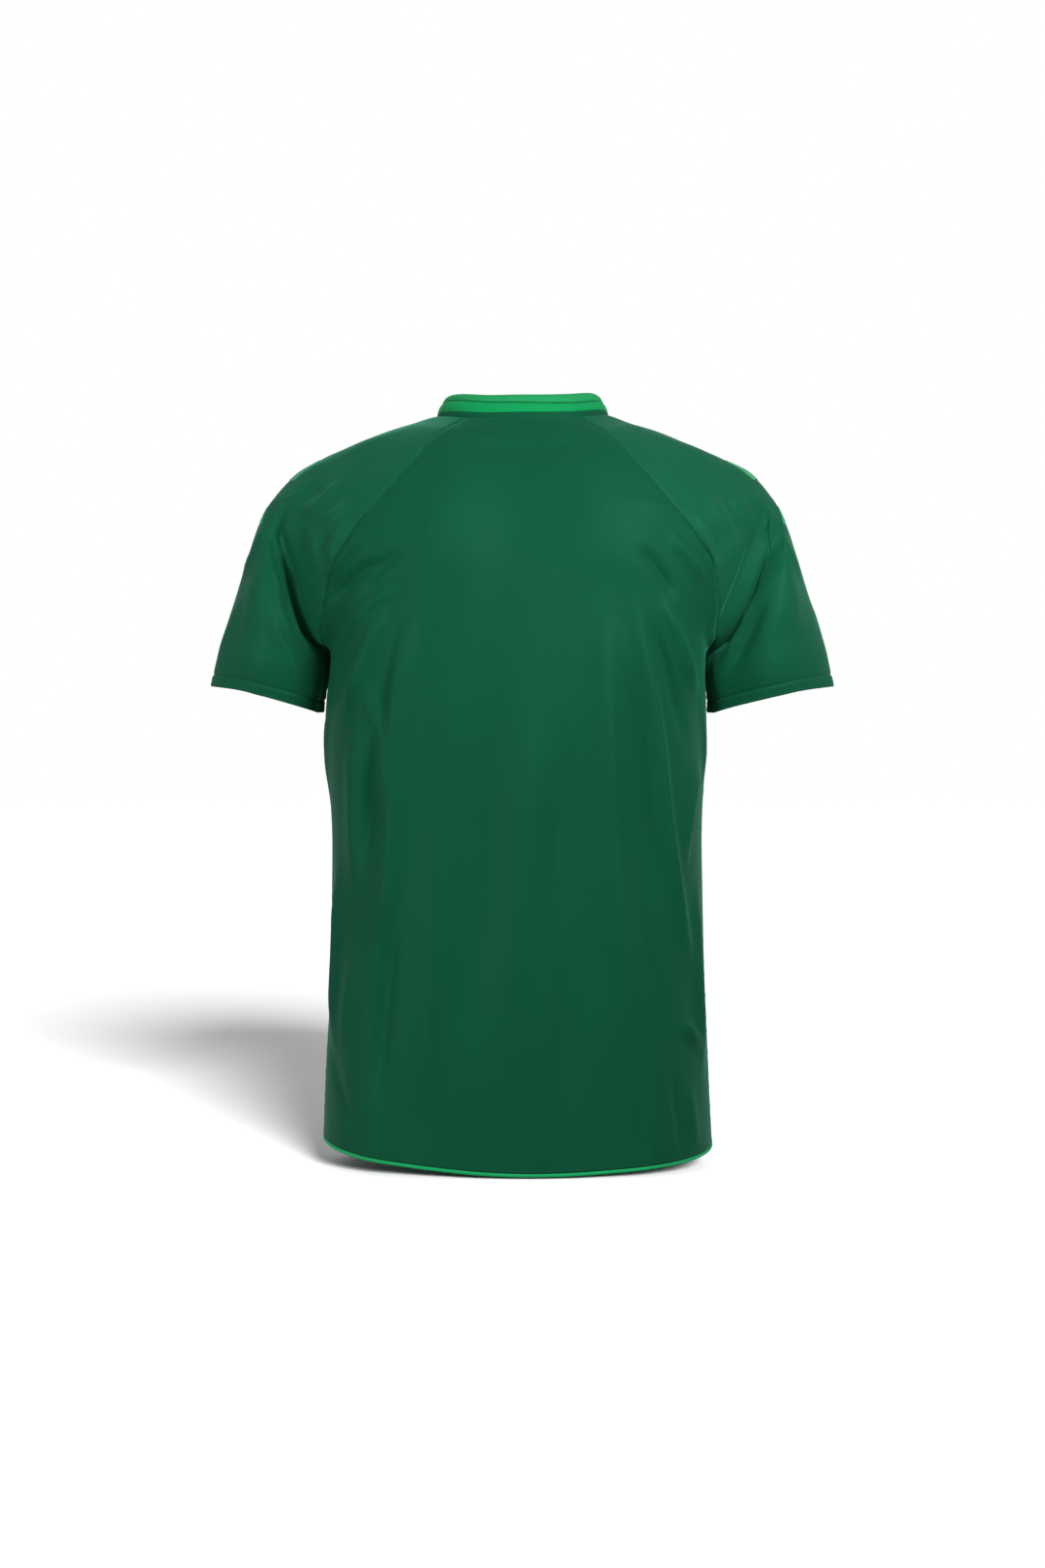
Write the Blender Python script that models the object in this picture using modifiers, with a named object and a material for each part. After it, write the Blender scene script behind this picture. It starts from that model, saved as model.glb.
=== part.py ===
"""A short-sleeved raglan football jersey, filled out as when it is worn.

Metres, +Z up. The origin is the middle of the neck opening, level with the
points where the shoulders meet the neck. The back faces +Y, the front -Y and
the wearer's left is +X. A station is a row across the cloth: 0 at the neck,
ARMPIT at the underarm, HEM or CUFF at the lower edge.
"""

import bmesh
import bpy
import numpy as np

# ---------------------------------------------------------------- sizes
CLOTH = 0.0012  # wall of a cloth piece
SEAM_GAP = 0.0003  # between two pieces that are sewn together
ARMPIT = 8.0
CUFF = 10.0
HEM = 16.0

BACK_COLUMNS = 30
FRONT_COLUMNS = 26
SLEEVE_COLUMNS = 20
YOKE_STATIONS = (0.0, 0.8, 1.6, 2.4, 3.2, 4.0, 4.85, 5.25, 5.8, 6.4, 7.0, 7.5, ARMPIT)
TUBE_STATIONS = (8.6, 9.3, CUFF)
TORSO_STATIONS = (8.7, 9.5, 10.5, 11.6, 12.7, 13.8, 14.9, HEM)

COLLAR_STRIP = 0.0048  # height of the dark strip on the neck seam
COLLAR_GROOVE = 0.0148  # height of the groove that divides the band
COLLAR_HEIGHT = 0.0240
COLLAR_JOINT = 0.0004  # between the band's lower and upper half
COLLAR_STEPS = 48  # steps the band's curve is followed in
COLLAR_BACK = 0.055  # the neck's depth over which the back's steeper band begins
COLLAR_STEEPER = 0.42  # share of the slope that the back's band goes without
HEM_EDGE = 0.0036  # height of the bright hem edging
BAR_WALL = 0.0005
CREASE_FADE = 0.1  # share of a panel's edge over which its folds fade out
BODY_KNOTS = (0.0, 0.25, 0.5, 0.75, 1.0)  # shares of a panel's columns: seam, middle, centre, middle, seam
SPREAD_FROM = 7.1  # below this station the body and the sleeve part towards the armpit
FOLD_SHARP = (4.3, 5.8, 7.4, 8.6)  # stations where the sleeve's fold turns sharp, stays so, and eases again

BODY_COLUMNS = "station centre_y centre_z middle_x middle_y middle_z"
LINE_COLUMNS = "station x y z"
FOLD_COLUMNS = "station valley valley_rise lip lip_rise crest crest_rise bow"
CREASE_COLUMNS = "x0 z0 x1 z1 width height"


def table(names, *rows):
    """Name the columns of a table."""
    return dict(zip(names.split(), np.array(rows, dtype=float).T))


# Rows down the body: the centre line, and a point between it and the seam.
BACK_ROWS = table(
    BODY_COLUMNS,
    (0, 0.064, -0.0115, 0.0290, 0.0605, -0.0110),
    (1, 0.085, -0.0340, 0.0460, 0.0840, -0.0325),
    (2, 0.101, -0.0600, 0.0620, 0.1035, -0.0585),
    (3, 0.112, -0.0900, 0.0770, 0.1155, -0.0890),
    (4, 0.119, -0.1200, 0.0940, 0.1210, -0.1210),
    (5, 0.124, -0.1500, 0.1110, 0.1215, -0.1540),
    (6, 0.127, -0.1810, 0.1285, 0.1160, -0.1880),
    (7, 0.128, -0.2110, 0.1410, 0.1100, -0.2180),
    (8, 0.129, -0.2410, 0.1480, 0.1060, -0.2450),
    (9, 0.130, -0.2790, 0.1480, 0.1035, -0.2800),
    (10, 0.130, -0.3250, 0.1457, 0.1014, -0.3228),
    (12, 0.128, -0.4390, 0.1388, 0.0973, -0.4350),
    (14, 0.127, -0.5840, 0.1386, 0.0953, -0.5777),
    (16, 0.124, -0.7355, 0.1432, 0.0928, -0.7265),
)
FRONT_ROWS = table(
    BODY_COLUMNS,
    (0, -0.093, -0.0850, 0.0450, -0.0800, -0.0715),
    (1, -0.103, -0.1000, 0.0560, -0.0965, -0.0885),
    (2, -0.113, -0.1180, 0.0690, -0.1090, -0.1065),
    (3, -0.122, -0.1360, 0.0830, -0.1190, -0.1260),
    (4, -0.130, -0.1550, 0.0985, -0.1255, -0.1470),
    (5, -0.136, -0.1750, 0.1125, -0.1285, -0.1690),
    (6, -0.140, -0.1960, 0.1285, -0.1265, -0.1920),
    (7, -0.142, -0.2180, 0.1410, -0.1210, -0.2170),
    (8, -0.143, -0.2430, 0.1480, -0.1165, -0.2430),
    (9, -0.142, -0.2780, 0.1480, -0.1135, -0.2780),
    (10, -0.141, -0.3210, 0.1457, -0.1100, -0.3205),
    (12, -0.138, -0.4320, 0.1388, -0.1049, -0.4310),
    (14, -0.134, -0.5740, 0.1386, -0.1005, -0.5720),
    (16, -0.130, -0.7220, 0.1432, -0.0972, -0.7190),
)
# The seams: the two raglans from the neck to the armpit, and the side seam below.
BACK_RAGLAN = table(
    LINE_COLUMNS,
    (0, 0.0540, 0.0500, -0.0100),
    (1, 0.0820, 0.0750, -0.0300),
    (2, 0.1090, 0.0945, -0.0565),
    (3, 0.1355, 0.1045, -0.0885),
    (4, 0.1615, 0.0995, -0.1215),
    (5, 0.1815, 0.0865, -0.1570),
    (6, 0.1910, 0.0675, -0.1935),
    (7, 0.1920, 0.0400, -0.2250),
    (8, 0.1840, 0.0000, -0.2380),
)
FRONT_RAGLAN = table(
    LINE_COLUMNS,
    (0, 0.0740, -0.0440, -0.0265),
    (1, 0.0935, -0.0750, -0.0510),
    (2, 0.1130, -0.0950, -0.0770),
    (3, 0.1330, -0.1060, -0.1040),
    (4, 0.1520, -0.1070, -0.1300),
    (5, 0.1700, -0.0980, -0.1570),
    (6, 0.1820, -0.0790, -0.1870),
    (7, 0.1885, -0.0480, -0.2165),
    (8, 0.1840, 0.0000, -0.2380),
)
SIDE_SEAM = table(
    LINE_COLUMNS,
    (8, 0.1840, 0.0, -0.2380),
    (9, 0.1850, 0.0, -0.2750),
    (10, 0.1868, 0.0, -0.3200),
    (12, 0.1826, 0.0, -0.4300),
    (14, 0.1848, 0.0, -0.5700),
    (16, 0.1915, 0.0, -0.7155),
)

# The sleeve's outer line, from the neck over the shoulder and down the arm.
ARM_RIDGE = table(
    LINE_COLUMNS,
    (0, 0.0845, 0.002, -0.0045),
    (1, 0.1225, 0.000, -0.0134),
    (2, 0.1600, -0.002, -0.0290),
    (3, 0.1970, -0.004, -0.0455),
    (4, 0.2315, -0.006, -0.0665),
    (5, 0.2565, -0.008, -0.0970),
    (6, 0.2715, -0.010, -0.1345),
    (7, 0.2830, -0.012, -0.1735),
    (8, 0.2945, -0.014, -0.2120),
    (10, 0.3100, -0.022, -0.2690),
)
UNDERARM_SEAM = table(
    LINE_COLUMNS,
    (8, 0.1840, 0.000, -0.2380),
    (9, 0.1874, -0.009, -0.2670),
    (10, 0.1905, -0.020, -0.2955),
)
# The deep fold that runs from the shoulder tip down into the armpit: each
# point is a share of the way from the raglan seam to the outer line, and is
# raised from that straight line by so many metres. The whole row bows towards
# the cuff by its last column.
SLEEVE_FOLD = table(
    FOLD_COLUMNS,
    (0, 0.45, 0.0030, 0.62, 0.0032, 0.82, 0.0022, 0.0055),
    (1, 0.46, 0.0070, 0.63, 0.0075, 0.82, 0.0048, 0.0035),
    (2, 0.50, 0.0125, 0.66, 0.0120, 0.84, 0.0074, 0.0015),
    (3, 0.54, 0.0155, 0.70, 0.0145, 0.86, 0.0088, 0.0),
    (4, 0.62, 0.0150, 0.75, 0.0155, 0.88, 0.0105, 0.0),
    (5, 0.62, 0.0050, 0.68, 0.0150, 0.83, 0.0150, 0.0),
    (6, 0.41, -0.0070, 0.30, 0.0030, 0.43, 0.0300, 0.0),
    (7, 0.20, -0.0060, 0.13, 0.0060, 0.40, 0.0420, 0.0),
    (8, 0.05, 0.0110, 0.12, 0.0280, 0.50, 0.0560, 0.0),
    (10, 0.06, 0.0150, 0.15, 0.0350, 0.50, 0.0560, 0.0),
)
SLEEVE_KNOTS = (0.0, 0.2, 0.275, 0.36, 0.5, 0.64, 0.725, 0.8, 1.0)
RIDGE_STEP = 0.05  # stations to each side that give the outer line's direction

COLLAR_AXIS = (0.0, -0.1, 1.0)  # the band leans towards the direction of the neck
# The collar's slope inward, in degrees from upright, at heights up the band.
COLLAR_PROFILE = table("height slope", (0.0, 16), (0.006, 20), (0.012, 27), (0.018, 38), (0.024, 62))

# The largest folds: a line from one point to another, in X and Z, and how far
# the cloth stands out of it. A negative height is a trough.
BACK_CREASES = table(
    CREASE_COLUMNS,
    (0.128, -0.184, 0.172, -0.305, 0.016, 0.0050),
    (0.104, -0.160, 0.128, -0.300, 0.018, 0.0050),
    (0.128, -0.300, 0.140, -0.580, 0.020, 0.0045),
    (-0.078, -0.160, -0.086, -0.320, 0.020, 0.0045),
    (-0.086, -0.320, -0.118, -0.660, 0.022, 0.0050),
    (-0.106, -0.170, -0.137, -0.320, 0.013, 0.0050),
    (-0.137, -0.320, -0.176, -0.590, 0.015, 0.0050),
    (-0.138, -0.190, -0.171, -0.290, 0.012, 0.0045),
    (0.035, -0.300, 0.050, -0.640, 0.040, -0.0040),
    (-0.035, -0.340, -0.048, -0.690, 0.030, -0.0035),
)
FRONT_CREASES = table(
    CREASE_COLUMNS,
    (0.110, -0.200, 0.140, -0.420, 0.018, 0.0050),
    (0.060, -0.240, 0.075, -0.600, 0.024, 0.0045),
    (-0.030, -0.300, -0.020, -0.640, 0.030, -0.0040),
    (-0.095, -0.190, -0.130, -0.380, 0.018, 0.0050),
    (-0.080, -0.380, -0.105, -0.660, 0.022, 0.0045),
)

# The garment hangs a little to its left below the arms, and that side is up.
HANG = table("z shift", (-0.740, 0.0045), (-0.430, 0.0055), (-0.300, 0.0065), (-0.160, 0.0), (0.050, 0.0))
HANG_TILT = 0.0038
HANG_FROM = -0.3  # the tilt comes in from this height down to the next
HANG_TO = -0.7
BODY_REACH = 0.190  # the shift fades from here out to the cuffs
CUFF_REACH = 0.300


# ---------------------------------------------------------------- curves
def smoothstep(low, high, value):
    """Go from 0 at low to 1 at high with no corner."""
    share = np.clip((np.asarray(value, dtype=float) - low) / (high - low), 0.0, 1.0)
    return share * share * (3.0 - 2.0 * share)


def unit(vectors):
    """Scale vectors to length one."""
    lengths = np.linalg.norm(vectors, axis=-1, keepdims=True)
    return vectors / np.maximum(lengths, 1e-9)


def read(rows, stations, names):
    """Read named columns of a table at stations, on a smooth curve through its rows."""
    knots = next(iter(rows.values()))
    values = np.stack([rows[name] for name in names.split()], axis=1)
    slopes = np.gradient(values, knots, axis=0)
    stations = np.atleast_1d(np.asarray(stations, dtype=float))
    place = np.clip(np.searchsorted(knots, stations, side="right") - 1, 0, len(knots) - 2)
    span = (knots[place + 1] - knots[place])[:, None]
    share = (stations[:, None] - knots[place][:, None]) / span
    return (
        values[place] * (1 + 2 * share) * (1 - share) ** 2
        + slopes[place] * span * share * (1 - share) ** 2
        + values[place + 1] * share**2 * (3 - 2 * share)
        + slopes[place + 1] * span * share**2 * (share - 1)
    )


def rows_through(keys, knots, corners, first, last, along):
    """Draw each row as a smooth curve through its key points.

    keys is (rows, points, 3), corners is (rows, points) with 1 for a sharp
    corner, first and last are the end directions, along the columns' places.
    """
    knots = np.asarray(knots, dtype=float)
    spans = np.diff(knots)
    chords = np.diff(keys, axis=1) / spans[None, :, None]
    before = np.concatenate([chords[:, :1], chords], axis=1)
    after = np.concatenate([chords, chords[:, -1:]], axis=1)
    middle = (before + after) / 2
    sharp = corners[:, :, None]
    leaving = middle * (1 - sharp) + after * sharp
    arriving = middle * (1 - sharp) + before * sharp
    leaving[:, 0] = first * np.linalg.norm(chords[:, 0], axis=-1, keepdims=True)
    arriving[:, -1] = last * np.linalg.norm(chords[:, -1], axis=-1, keepdims=True)
    place = np.clip(np.searchsorted(knots, along, side="right") - 1, 0, len(spans) - 1)
    span = spans[place][None, :, None]
    share = ((along - knots[place]) / spans[place])[None, :, None]
    return (
        keys[:, place] * (1 + 2 * share) * (1 - share) ** 2
        + leaving[:, place] * span * share * (1 - share) ** 2
        + keys[:, place + 1] * share**2 * (3 - 2 * share)
        + arriving[:, place + 1] * span * share**2 * (share - 1)
    )


# ---------------------------------------------------------------- the form
def seam_line(side, stations):
    """Follow the raglan of the back (+1) or the front (-1), and the side seam below it."""
    raglan = read(BACK_RAGLAN if side > 0 else FRONT_RAGLAN, np.minimum(stations, ARMPIT), "x y z")
    side_seam = read(SIDE_SEAM, np.maximum(stations, ARMPIT), "x y z")
    return np.where((stations >= ARMPIT)[:, None], side_seam, raglan)


def body_keys(side, stations):
    """Find centre, middle and seam points of the back (+1) or the front (-1)."""
    stations = np.asarray(stations, dtype=float)
    rows = BACK_ROWS if side > 0 else FRONT_ROWS
    centre = np.insert(read(rows, stations, "centre_y centre_z"), 0, 0.0, axis=1)
    middle = read(rows, stations, "middle_x middle_y middle_z")
    return centre, middle, seam_line(side, stations)


def sleeve_keys(side, stations):
    """Find seam, valley, lip, crest and ridge points of the left sleeve's back or front half."""
    stations = np.asarray(stations, dtype=float)
    ridge = read(ARM_RIDGE, stations, "x y z")
    under_arm = read(UNDERARM_SEAM, np.maximum(stations, ARMPIT), "x y z")
    seam = np.where((stations >= ARMPIT)[:, None], under_arm, seam_line(side, stations))
    below = read(ARM_RIDGE, np.minimum(stations + RIDGE_STEP, CUFF), "x y z")
    down_arm = below - read(ARM_RIDGE, np.maximum(stations - RIDGE_STEP, 0.0), "x y z")
    chord = ridge - seam
    along = unit(chord)
    outward = unit(np.cross(chord, down_arm)) * side
    down_arm = unit(down_arm - along * np.sum(down_arm * along, axis=1, keepdims=True))
    points = [seam]
    for line in ("valley", "lip", "crest"):
        share, rise, bow = np.split(read(SLEEVE_FOLD, stations, f"{line} {line}_rise bow"), 3, axis=1)
        bow = bow * 4 * share * (1 - share)
        points.append(seam + chord * share + outward * rise + down_arm * bow)
    points.append(ridge)
    return points


def seam_directions(side, stations):
    """Find how the cloth crosses the raglan seam, for the body and for the sleeve."""
    stations = np.asarray(stations, dtype=float)
    here = body_keys(side, stations)
    other = body_keys(-side, stations)
    valley = sleeve_keys(side, np.minimum(stations, CUFF))[1]
    other_valley = sleeve_keys(-side, np.minimum(stations, CUFF))[1]
    shared = unit(valley - here[1])
    apart = smoothstep(SPREAD_FROM, ARMPIT, stations)[:, None]
    body = unit(shared * (1 - apart) + unit(other[1] - here[1]) * apart)
    sleeve = unit(shared * (1 - apart) + unit(valley - other_valley) * apart)
    return body, sleeve


def body_panel(side, stations, columns):
    """Lay out the back from the wearer's right to left, or the front from left to right."""
    centre, middle, seam = body_keys(side, stations)
    across = seam_directions(side, stations)[0]
    mirror = np.array([-1.0, 1.0, 1.0])
    keys = np.stack([seam * mirror, middle * mirror, centre, middle, seam], axis=1)
    if side < 0:
        keys = keys[:, ::-1]
    first = across * np.array([1.0, -1.0, -1.0])
    last = across
    if side < 0:
        first = across * -1.0
        last = across * mirror
    along = np.linspace(0.0, 1.0, columns + 1)
    return rows_through(keys, BODY_KNOTS, np.zeros(keys.shape[:2]), first, last, along)


def sleeve_panel(stations, columns):
    """Lay out the left sleeve from its back seam over the arm to its front seam."""
    back = sleeve_keys(1, stations)
    front = sleeve_keys(-1, stations)
    keys = np.stack(back + front[-2::-1], axis=1)
    stations = np.asarray(stations, dtype=float)
    turns, sharp, eases, soft = FOLD_SHARP
    deep = smoothstep(turns, sharp, stations) * (1 - smoothstep(eases, soft, stations))
    corners = np.zeros(keys.shape[:2])
    corners[:, 1] = deep
    corners[:, -2] = deep
    first = seam_directions(1, stations)[1]
    last = -seam_directions(-1, stations)[1]
    along = np.linspace(0.0, 1.0, columns + 1)
    return rows_through(keys, SLEEVE_KNOTS, corners, first, last, along)


def normals(points):
    """Find the outward direction at each point of a grid."""
    return unit(np.cross(np.gradient(points, axis=1), np.gradient(points, axis=0)))


def crease(points, creases):
    """Raise soft folds on a body panel, fading out towards its edges."""
    rise = np.zeros(points.shape[:2])
    place = points[:, :, [0, 2]]
    for x0, z0, x1, z1, width, height in zip(*creases.values()):
        start = np.array([x0, z0])
        line = np.array([x1, z1]) - start
        share = np.clip(((place - start) @ line) / (line @ line), 0.0, 1.0)
        distance = np.linalg.norm(place - start - share[:, :, None] * line, axis=-1)
        rise += height * np.exp(-((distance / width) ** 2))
    across = np.linspace(0.0, 1.0, points.shape[1])
    down = np.linspace(0.0, 1.0, points.shape[0])
    sides = smoothstep(0.0, CREASE_FADE, across) * smoothstep(0.0, CREASE_FADE, 1 - across)
    top = smoothstep(0.0, CREASE_FADE, down)
    return points + normals(points) * (rise * sides[None, :] * top[:, None])[:, :, None]


def hang(points):
    """Shift and tilt the cloth the way the whole garment hangs."""
    shift = read(HANG, points[..., 2].ravel(), "shift").reshape(points.shape[:-1])
    reach = 1 - smoothstep(BODY_REACH, CUFF_REACH, np.abs(points[..., 0]))
    low = smoothstep(HANG_FROM, HANG_TO, points[..., 2])
    moved = points.copy()
    moved[..., 2] += HANG_TILT * low * points[..., 0] / BODY_REACH
    moved[..., 0] += shift * reach
    return moved


def free_edges(points, sides=True, top=True):
    """Draw a panel's sewn edges back by half a seam gap."""
    moved = points.copy()
    if sides:
        moved[:, 0] += unit(points[:, 1] - points[:, 0]) * SEAM_GAP / 2
        moved[:, -1] += unit(points[:, -2] - points[:, -1]) * SEAM_GAP / 2
    if top:
        moved[0] += unit(points[1] - points[0]) * SEAM_GAP / 2
    return moved


# ---------------------------------------------------------------- the collar
def collar_rows(loop, heights):
    """Stand a band on the neck loop, sloping in more and more towards its top."""
    ahead = np.roll(loop, -1, axis=0)
    behind = np.roll(loop, 1, axis=0)
    along = unit(ahead - behind)
    centre = loop.mean(axis=0)
    inward = (centre - loop) * np.array([1.0, 1.0, 0.0])
    inward = unit(inward - along * np.sum(inward * along, axis=1, keepdims=True))
    upward = unit(np.cross(along, inward))
    upward *= np.sign(upward[:, 2:3])
    upward = unit(upward + COLLAR_AXIS)
    slope_scale = 1.0 - COLLAR_STEEPER * smoothstep(0.0, COLLAR_BACK, loop[:, 1])
    fine = np.linspace(0.0, COLLAR_HEIGHT, COLLAR_STEPS + 1)
    slopes = np.radians(read(COLLAR_PROFILE, fine, "slope")[:, 0])
    rows = []
    for height in heights:
        reached = fine[:-1] < height
        angle = slopes[:-1][reached][:, None] * slope_scale[None, :]
        size = np.diff(fine)[reached].sum() if reached.any() else 0.0
        share = height / size if size else 0.0
        piece = COLLAR_HEIGHT / COLLAR_STEPS * share
        rise = (np.cos(angle) * piece).sum(axis=0)[:, None]
        inset = (np.sin(angle) * piece).sum(axis=0)[:, None]
        rows.append(loop + upward * rise + inward * inset)
    return np.stack(rows[::-1])


def close_band(rows):
    """Bring a band round to its start, with a joint there."""
    return free_edges(np.concatenate([rows, rows[:, :1]], axis=1), top=False)


# ---------------------------------------------------------------- objects
def plain_material(name, colour, roughness):
    """Make a plain fabric material."""
    material = bpy.data.materials.new(name)
    material.use_nodes = True
    shader = material.node_tree.nodes["Principled BSDF"]
    shader.inputs["Base Color"].default_value = (*colour, 1.0)
    shader.inputs["Roughness"].default_value = roughness
    shader.inputs["Metallic"].default_value = 0.0
    material.diffuse_color = (*colour, 1.0)
    return material


def cloth(collection, name, points, material, wall=CLOTH):
    """Wrap a flat grid on rows of points and give it a wall on its inner side."""
    rows = points.shape[0] - 1
    columns = points.shape[1] - 1
    surface = bmesh.new()
    bmesh.ops.create_grid(surface, x_segments=columns, y_segments=rows, size=0.5)
    for vertex in surface.verts:
        column = round((vertex.co.x + 0.5) * columns)
        row = round((vertex.co.y + 0.5) * rows)
        vertex.co = points[row, column]
    bmesh.ops.triangulate(surface, faces=surface.faces, quad_method="FIXED")
    mesh = bpy.data.meshes.new(name)
    surface.to_mesh(mesh)
    surface.free()
    mesh.shade_smooth()
    piece = bpy.data.objects.new(name, mesh)
    piece.data.materials.append(material)
    collection.objects.link(piece)
    solid = piece.modifiers.new("wall", "SOLIDIFY")
    solid.thickness = wall
    solid.offset = -1.0
    return piece


def shoulder_bar(collection, name, sleeve, rows, columns, material):
    """Lay a plain patch on the sleeve, from the sleeve's own points moved out."""
    raised = sleeve + normals(sleeve) * (SEAM_GAP + BAR_WALL)
    patch = raised[rows[0] : rows[1] + 1, columns[0] : columns[1] + 1]
    return cloth(collection, name, patch, material, wall=BAR_WALL)


def main():
    """Model every piece of the jersey."""
    for thing in list(bpy.data.objects):
        bpy.data.objects.remove(thing)
    collection = bpy.data.collections.new("football_jersey")
    bpy.context.scene.collection.children.link(collection)

    body_green = plain_material("dark green knit", (0.012, 0.105, 0.058), 0.5)
    strip_green = plain_material("dark green binding", (0.010, 0.085, 0.048), 0.6)
    bright_green = plain_material("bright green rib", (0.012, 0.38, 0.11), 0.65)

    body_stations = YOKE_STATIONS + TORSO_STATIONS
    sleeve_stations = YOKE_STATIONS + TUBE_STATIONS
    back = hang(crease(body_panel(1, body_stations, BACK_COLUMNS), BACK_CREASES))
    front = hang(crease(body_panel(-1, body_stations, FRONT_COLUMNS), FRONT_CREASES))
    sleeve = sleeve_panel(sleeve_stations, SLEEVE_COLUMNS)
    left = hang(sleeve)
    right = hang(sleeve[:, ::-1] * np.array([-1.0, 1.0, 1.0]))

    cloth(collection, "back", free_edges(back), body_green)
    cloth(collection, "front", free_edges(front), body_green)
    cloth(collection, "sleeve_left", free_edges(left), body_green)
    cloth(collection, "sleeve_right", free_edges(right), body_green)

    neck = np.concatenate([back[0, :-1:2], left[0, :-1:2], front[0, :-1:2], right[0, :-1:2]])
    gap = SEAM_GAP
    strip = collar_rows(neck, (gap, COLLAR_STRIP))
    band = collar_rows(neck, (COLLAR_STRIP + gap, COLLAR_GROOVE))
    edge_middle = (COLLAR_GROOVE + COLLAR_HEIGHT) / 2
    edge = collar_rows(neck, (COLLAR_GROOVE + COLLAR_JOINT, edge_middle, COLLAR_HEIGHT))
    cloth(collection, "neck_strip", close_band(strip), strip_green)
    cloth(collection, "collar", close_band(band), bright_green)
    cloth(collection, "collar_edge", close_band(edge), bright_green)

    hem = np.concatenate([back[-1, :-1], front[-1, :-1]])
    above = np.concatenate([back[-2, :-1], front[-2, :-1]])
    down = unit(hem - above)
    edging = np.stack([hem + down * gap, hem + down * (gap + HEM_EDGE)])
    cloth(collection, "hem_edging", close_band(edging), bright_green)

    ridge = SLEEVE_COLUMNS // 2
    wide = (YOKE_STATIONS.index(3.2), YOKE_STATIONS.index(4.0))
    narrow = (YOKE_STATIONS.index(4.85), YOKE_STATIONS.index(5.25))
    for name, panel, columns in (
        ("left", left, (ridge - 1, ridge + 5)),
        ("right", right, (ridge - 5, ridge + 1)),
    ):
        shoulder_bar(collection, f"bar_{name}_wide", panel, wide, columns, bright_green)
        shoulder_bar(collection, f"bar_{name}_narrow", panel, narrow, columns, bright_green)


main()
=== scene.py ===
"""Football jersey: the worn-looking cloth, its trims and a plain studio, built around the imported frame.

Metres, +Z up. The back faces +Y, the front -Y and the wearer's left is +X. A station is a row across
the cloth: 0 at the neck, ARMPIT at the underarm, HEM or CUFF at the lower edge.
"""

import bpy
import numpy as np
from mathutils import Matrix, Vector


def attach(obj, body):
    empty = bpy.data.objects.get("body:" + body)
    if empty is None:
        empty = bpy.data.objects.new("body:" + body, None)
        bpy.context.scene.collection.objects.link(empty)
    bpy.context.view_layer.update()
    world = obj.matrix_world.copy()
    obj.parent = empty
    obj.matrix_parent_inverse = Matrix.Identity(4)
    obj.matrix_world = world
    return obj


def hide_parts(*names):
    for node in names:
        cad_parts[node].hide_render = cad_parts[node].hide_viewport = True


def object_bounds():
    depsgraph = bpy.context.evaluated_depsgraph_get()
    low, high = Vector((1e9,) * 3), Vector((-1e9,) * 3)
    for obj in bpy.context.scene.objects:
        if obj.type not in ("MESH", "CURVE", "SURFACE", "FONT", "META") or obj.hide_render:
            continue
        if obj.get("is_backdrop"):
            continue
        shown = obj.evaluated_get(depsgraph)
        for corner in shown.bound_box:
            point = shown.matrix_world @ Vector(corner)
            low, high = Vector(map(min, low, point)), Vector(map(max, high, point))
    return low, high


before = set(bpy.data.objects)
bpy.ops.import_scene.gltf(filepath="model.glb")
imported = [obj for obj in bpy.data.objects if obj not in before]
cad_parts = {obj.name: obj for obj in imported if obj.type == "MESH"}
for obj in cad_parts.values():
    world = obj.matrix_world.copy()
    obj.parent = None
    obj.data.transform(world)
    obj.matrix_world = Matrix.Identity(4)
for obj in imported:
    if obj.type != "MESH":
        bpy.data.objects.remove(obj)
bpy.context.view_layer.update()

bl_info = {
    "name": "Football Jersey",
    "version": (1, 0, 0),
    "blender": (4, 5, 0),
    "location": "View3D > Sidebar > Jersey",
    "description": "Builds a short-sleeved raglan football jersey with its collar, trims and stitches",
    "category": "Add Mesh",
}

# ---------------------------------------------------------------- the cut
ARMPIT = 8.0
CUFF = 10.0
HEM = 16.0
ARMPIT_POINT = (0.184, 0.0, -0.238)
YOKE_ROWS = 116
TORSO_ROWS = 142
TUBE_ROWS = 46
BODY_COLUMNS = 168
SLEEVE_COLUMNS = 150

ROW_NAMES = "station centre_y centre_z middle_x middle_y middle_z"
LINE_NAMES = "station x y z"
FOLD_NAMES = "station valley valley_rise lip lip_rise crest crest_rise bow"


def table(names, *rows):
    """Name the columns of a table."""
    return dict(zip(names.split(), np.array(rows, dtype=float).T))


BACK_ROWS = table(
    ROW_NAMES,
    (0, 0.064, -0.0115, 0.0290, 0.0605, -0.0110),
    (1, 0.085, -0.0340, 0.0460, 0.0840, -0.0325),
    (2, 0.101, -0.0600, 0.0620, 0.1035, -0.0585),
    (3, 0.112, -0.0900, 0.0770, 0.1155, -0.0890),
    (4, 0.119, -0.1200, 0.0940, 0.1210, -0.1210),
    (5, 0.124, -0.1500, 0.1110, 0.1215, -0.1540),
    (6, 0.127, -0.1810, 0.1285, 0.1160, -0.1880),
    (7, 0.128, -0.2110, 0.1410, 0.1100, -0.2180),
    (8, 0.129, -0.2410, 0.1480, 0.1060, -0.2450),
    (9, 0.130, -0.2790, 0.1480, 0.1035, -0.2800),
    (10, 0.130, -0.3250, 0.1457, 0.1014, -0.3228),
    (12, 0.128, -0.4390, 0.1388, 0.0973, -0.4350),
    (14, 0.127, -0.5840, 0.1386, 0.0953, -0.5777),
    (16, 0.124, -0.7355, 0.1432, 0.0928, -0.7265),
)
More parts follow.
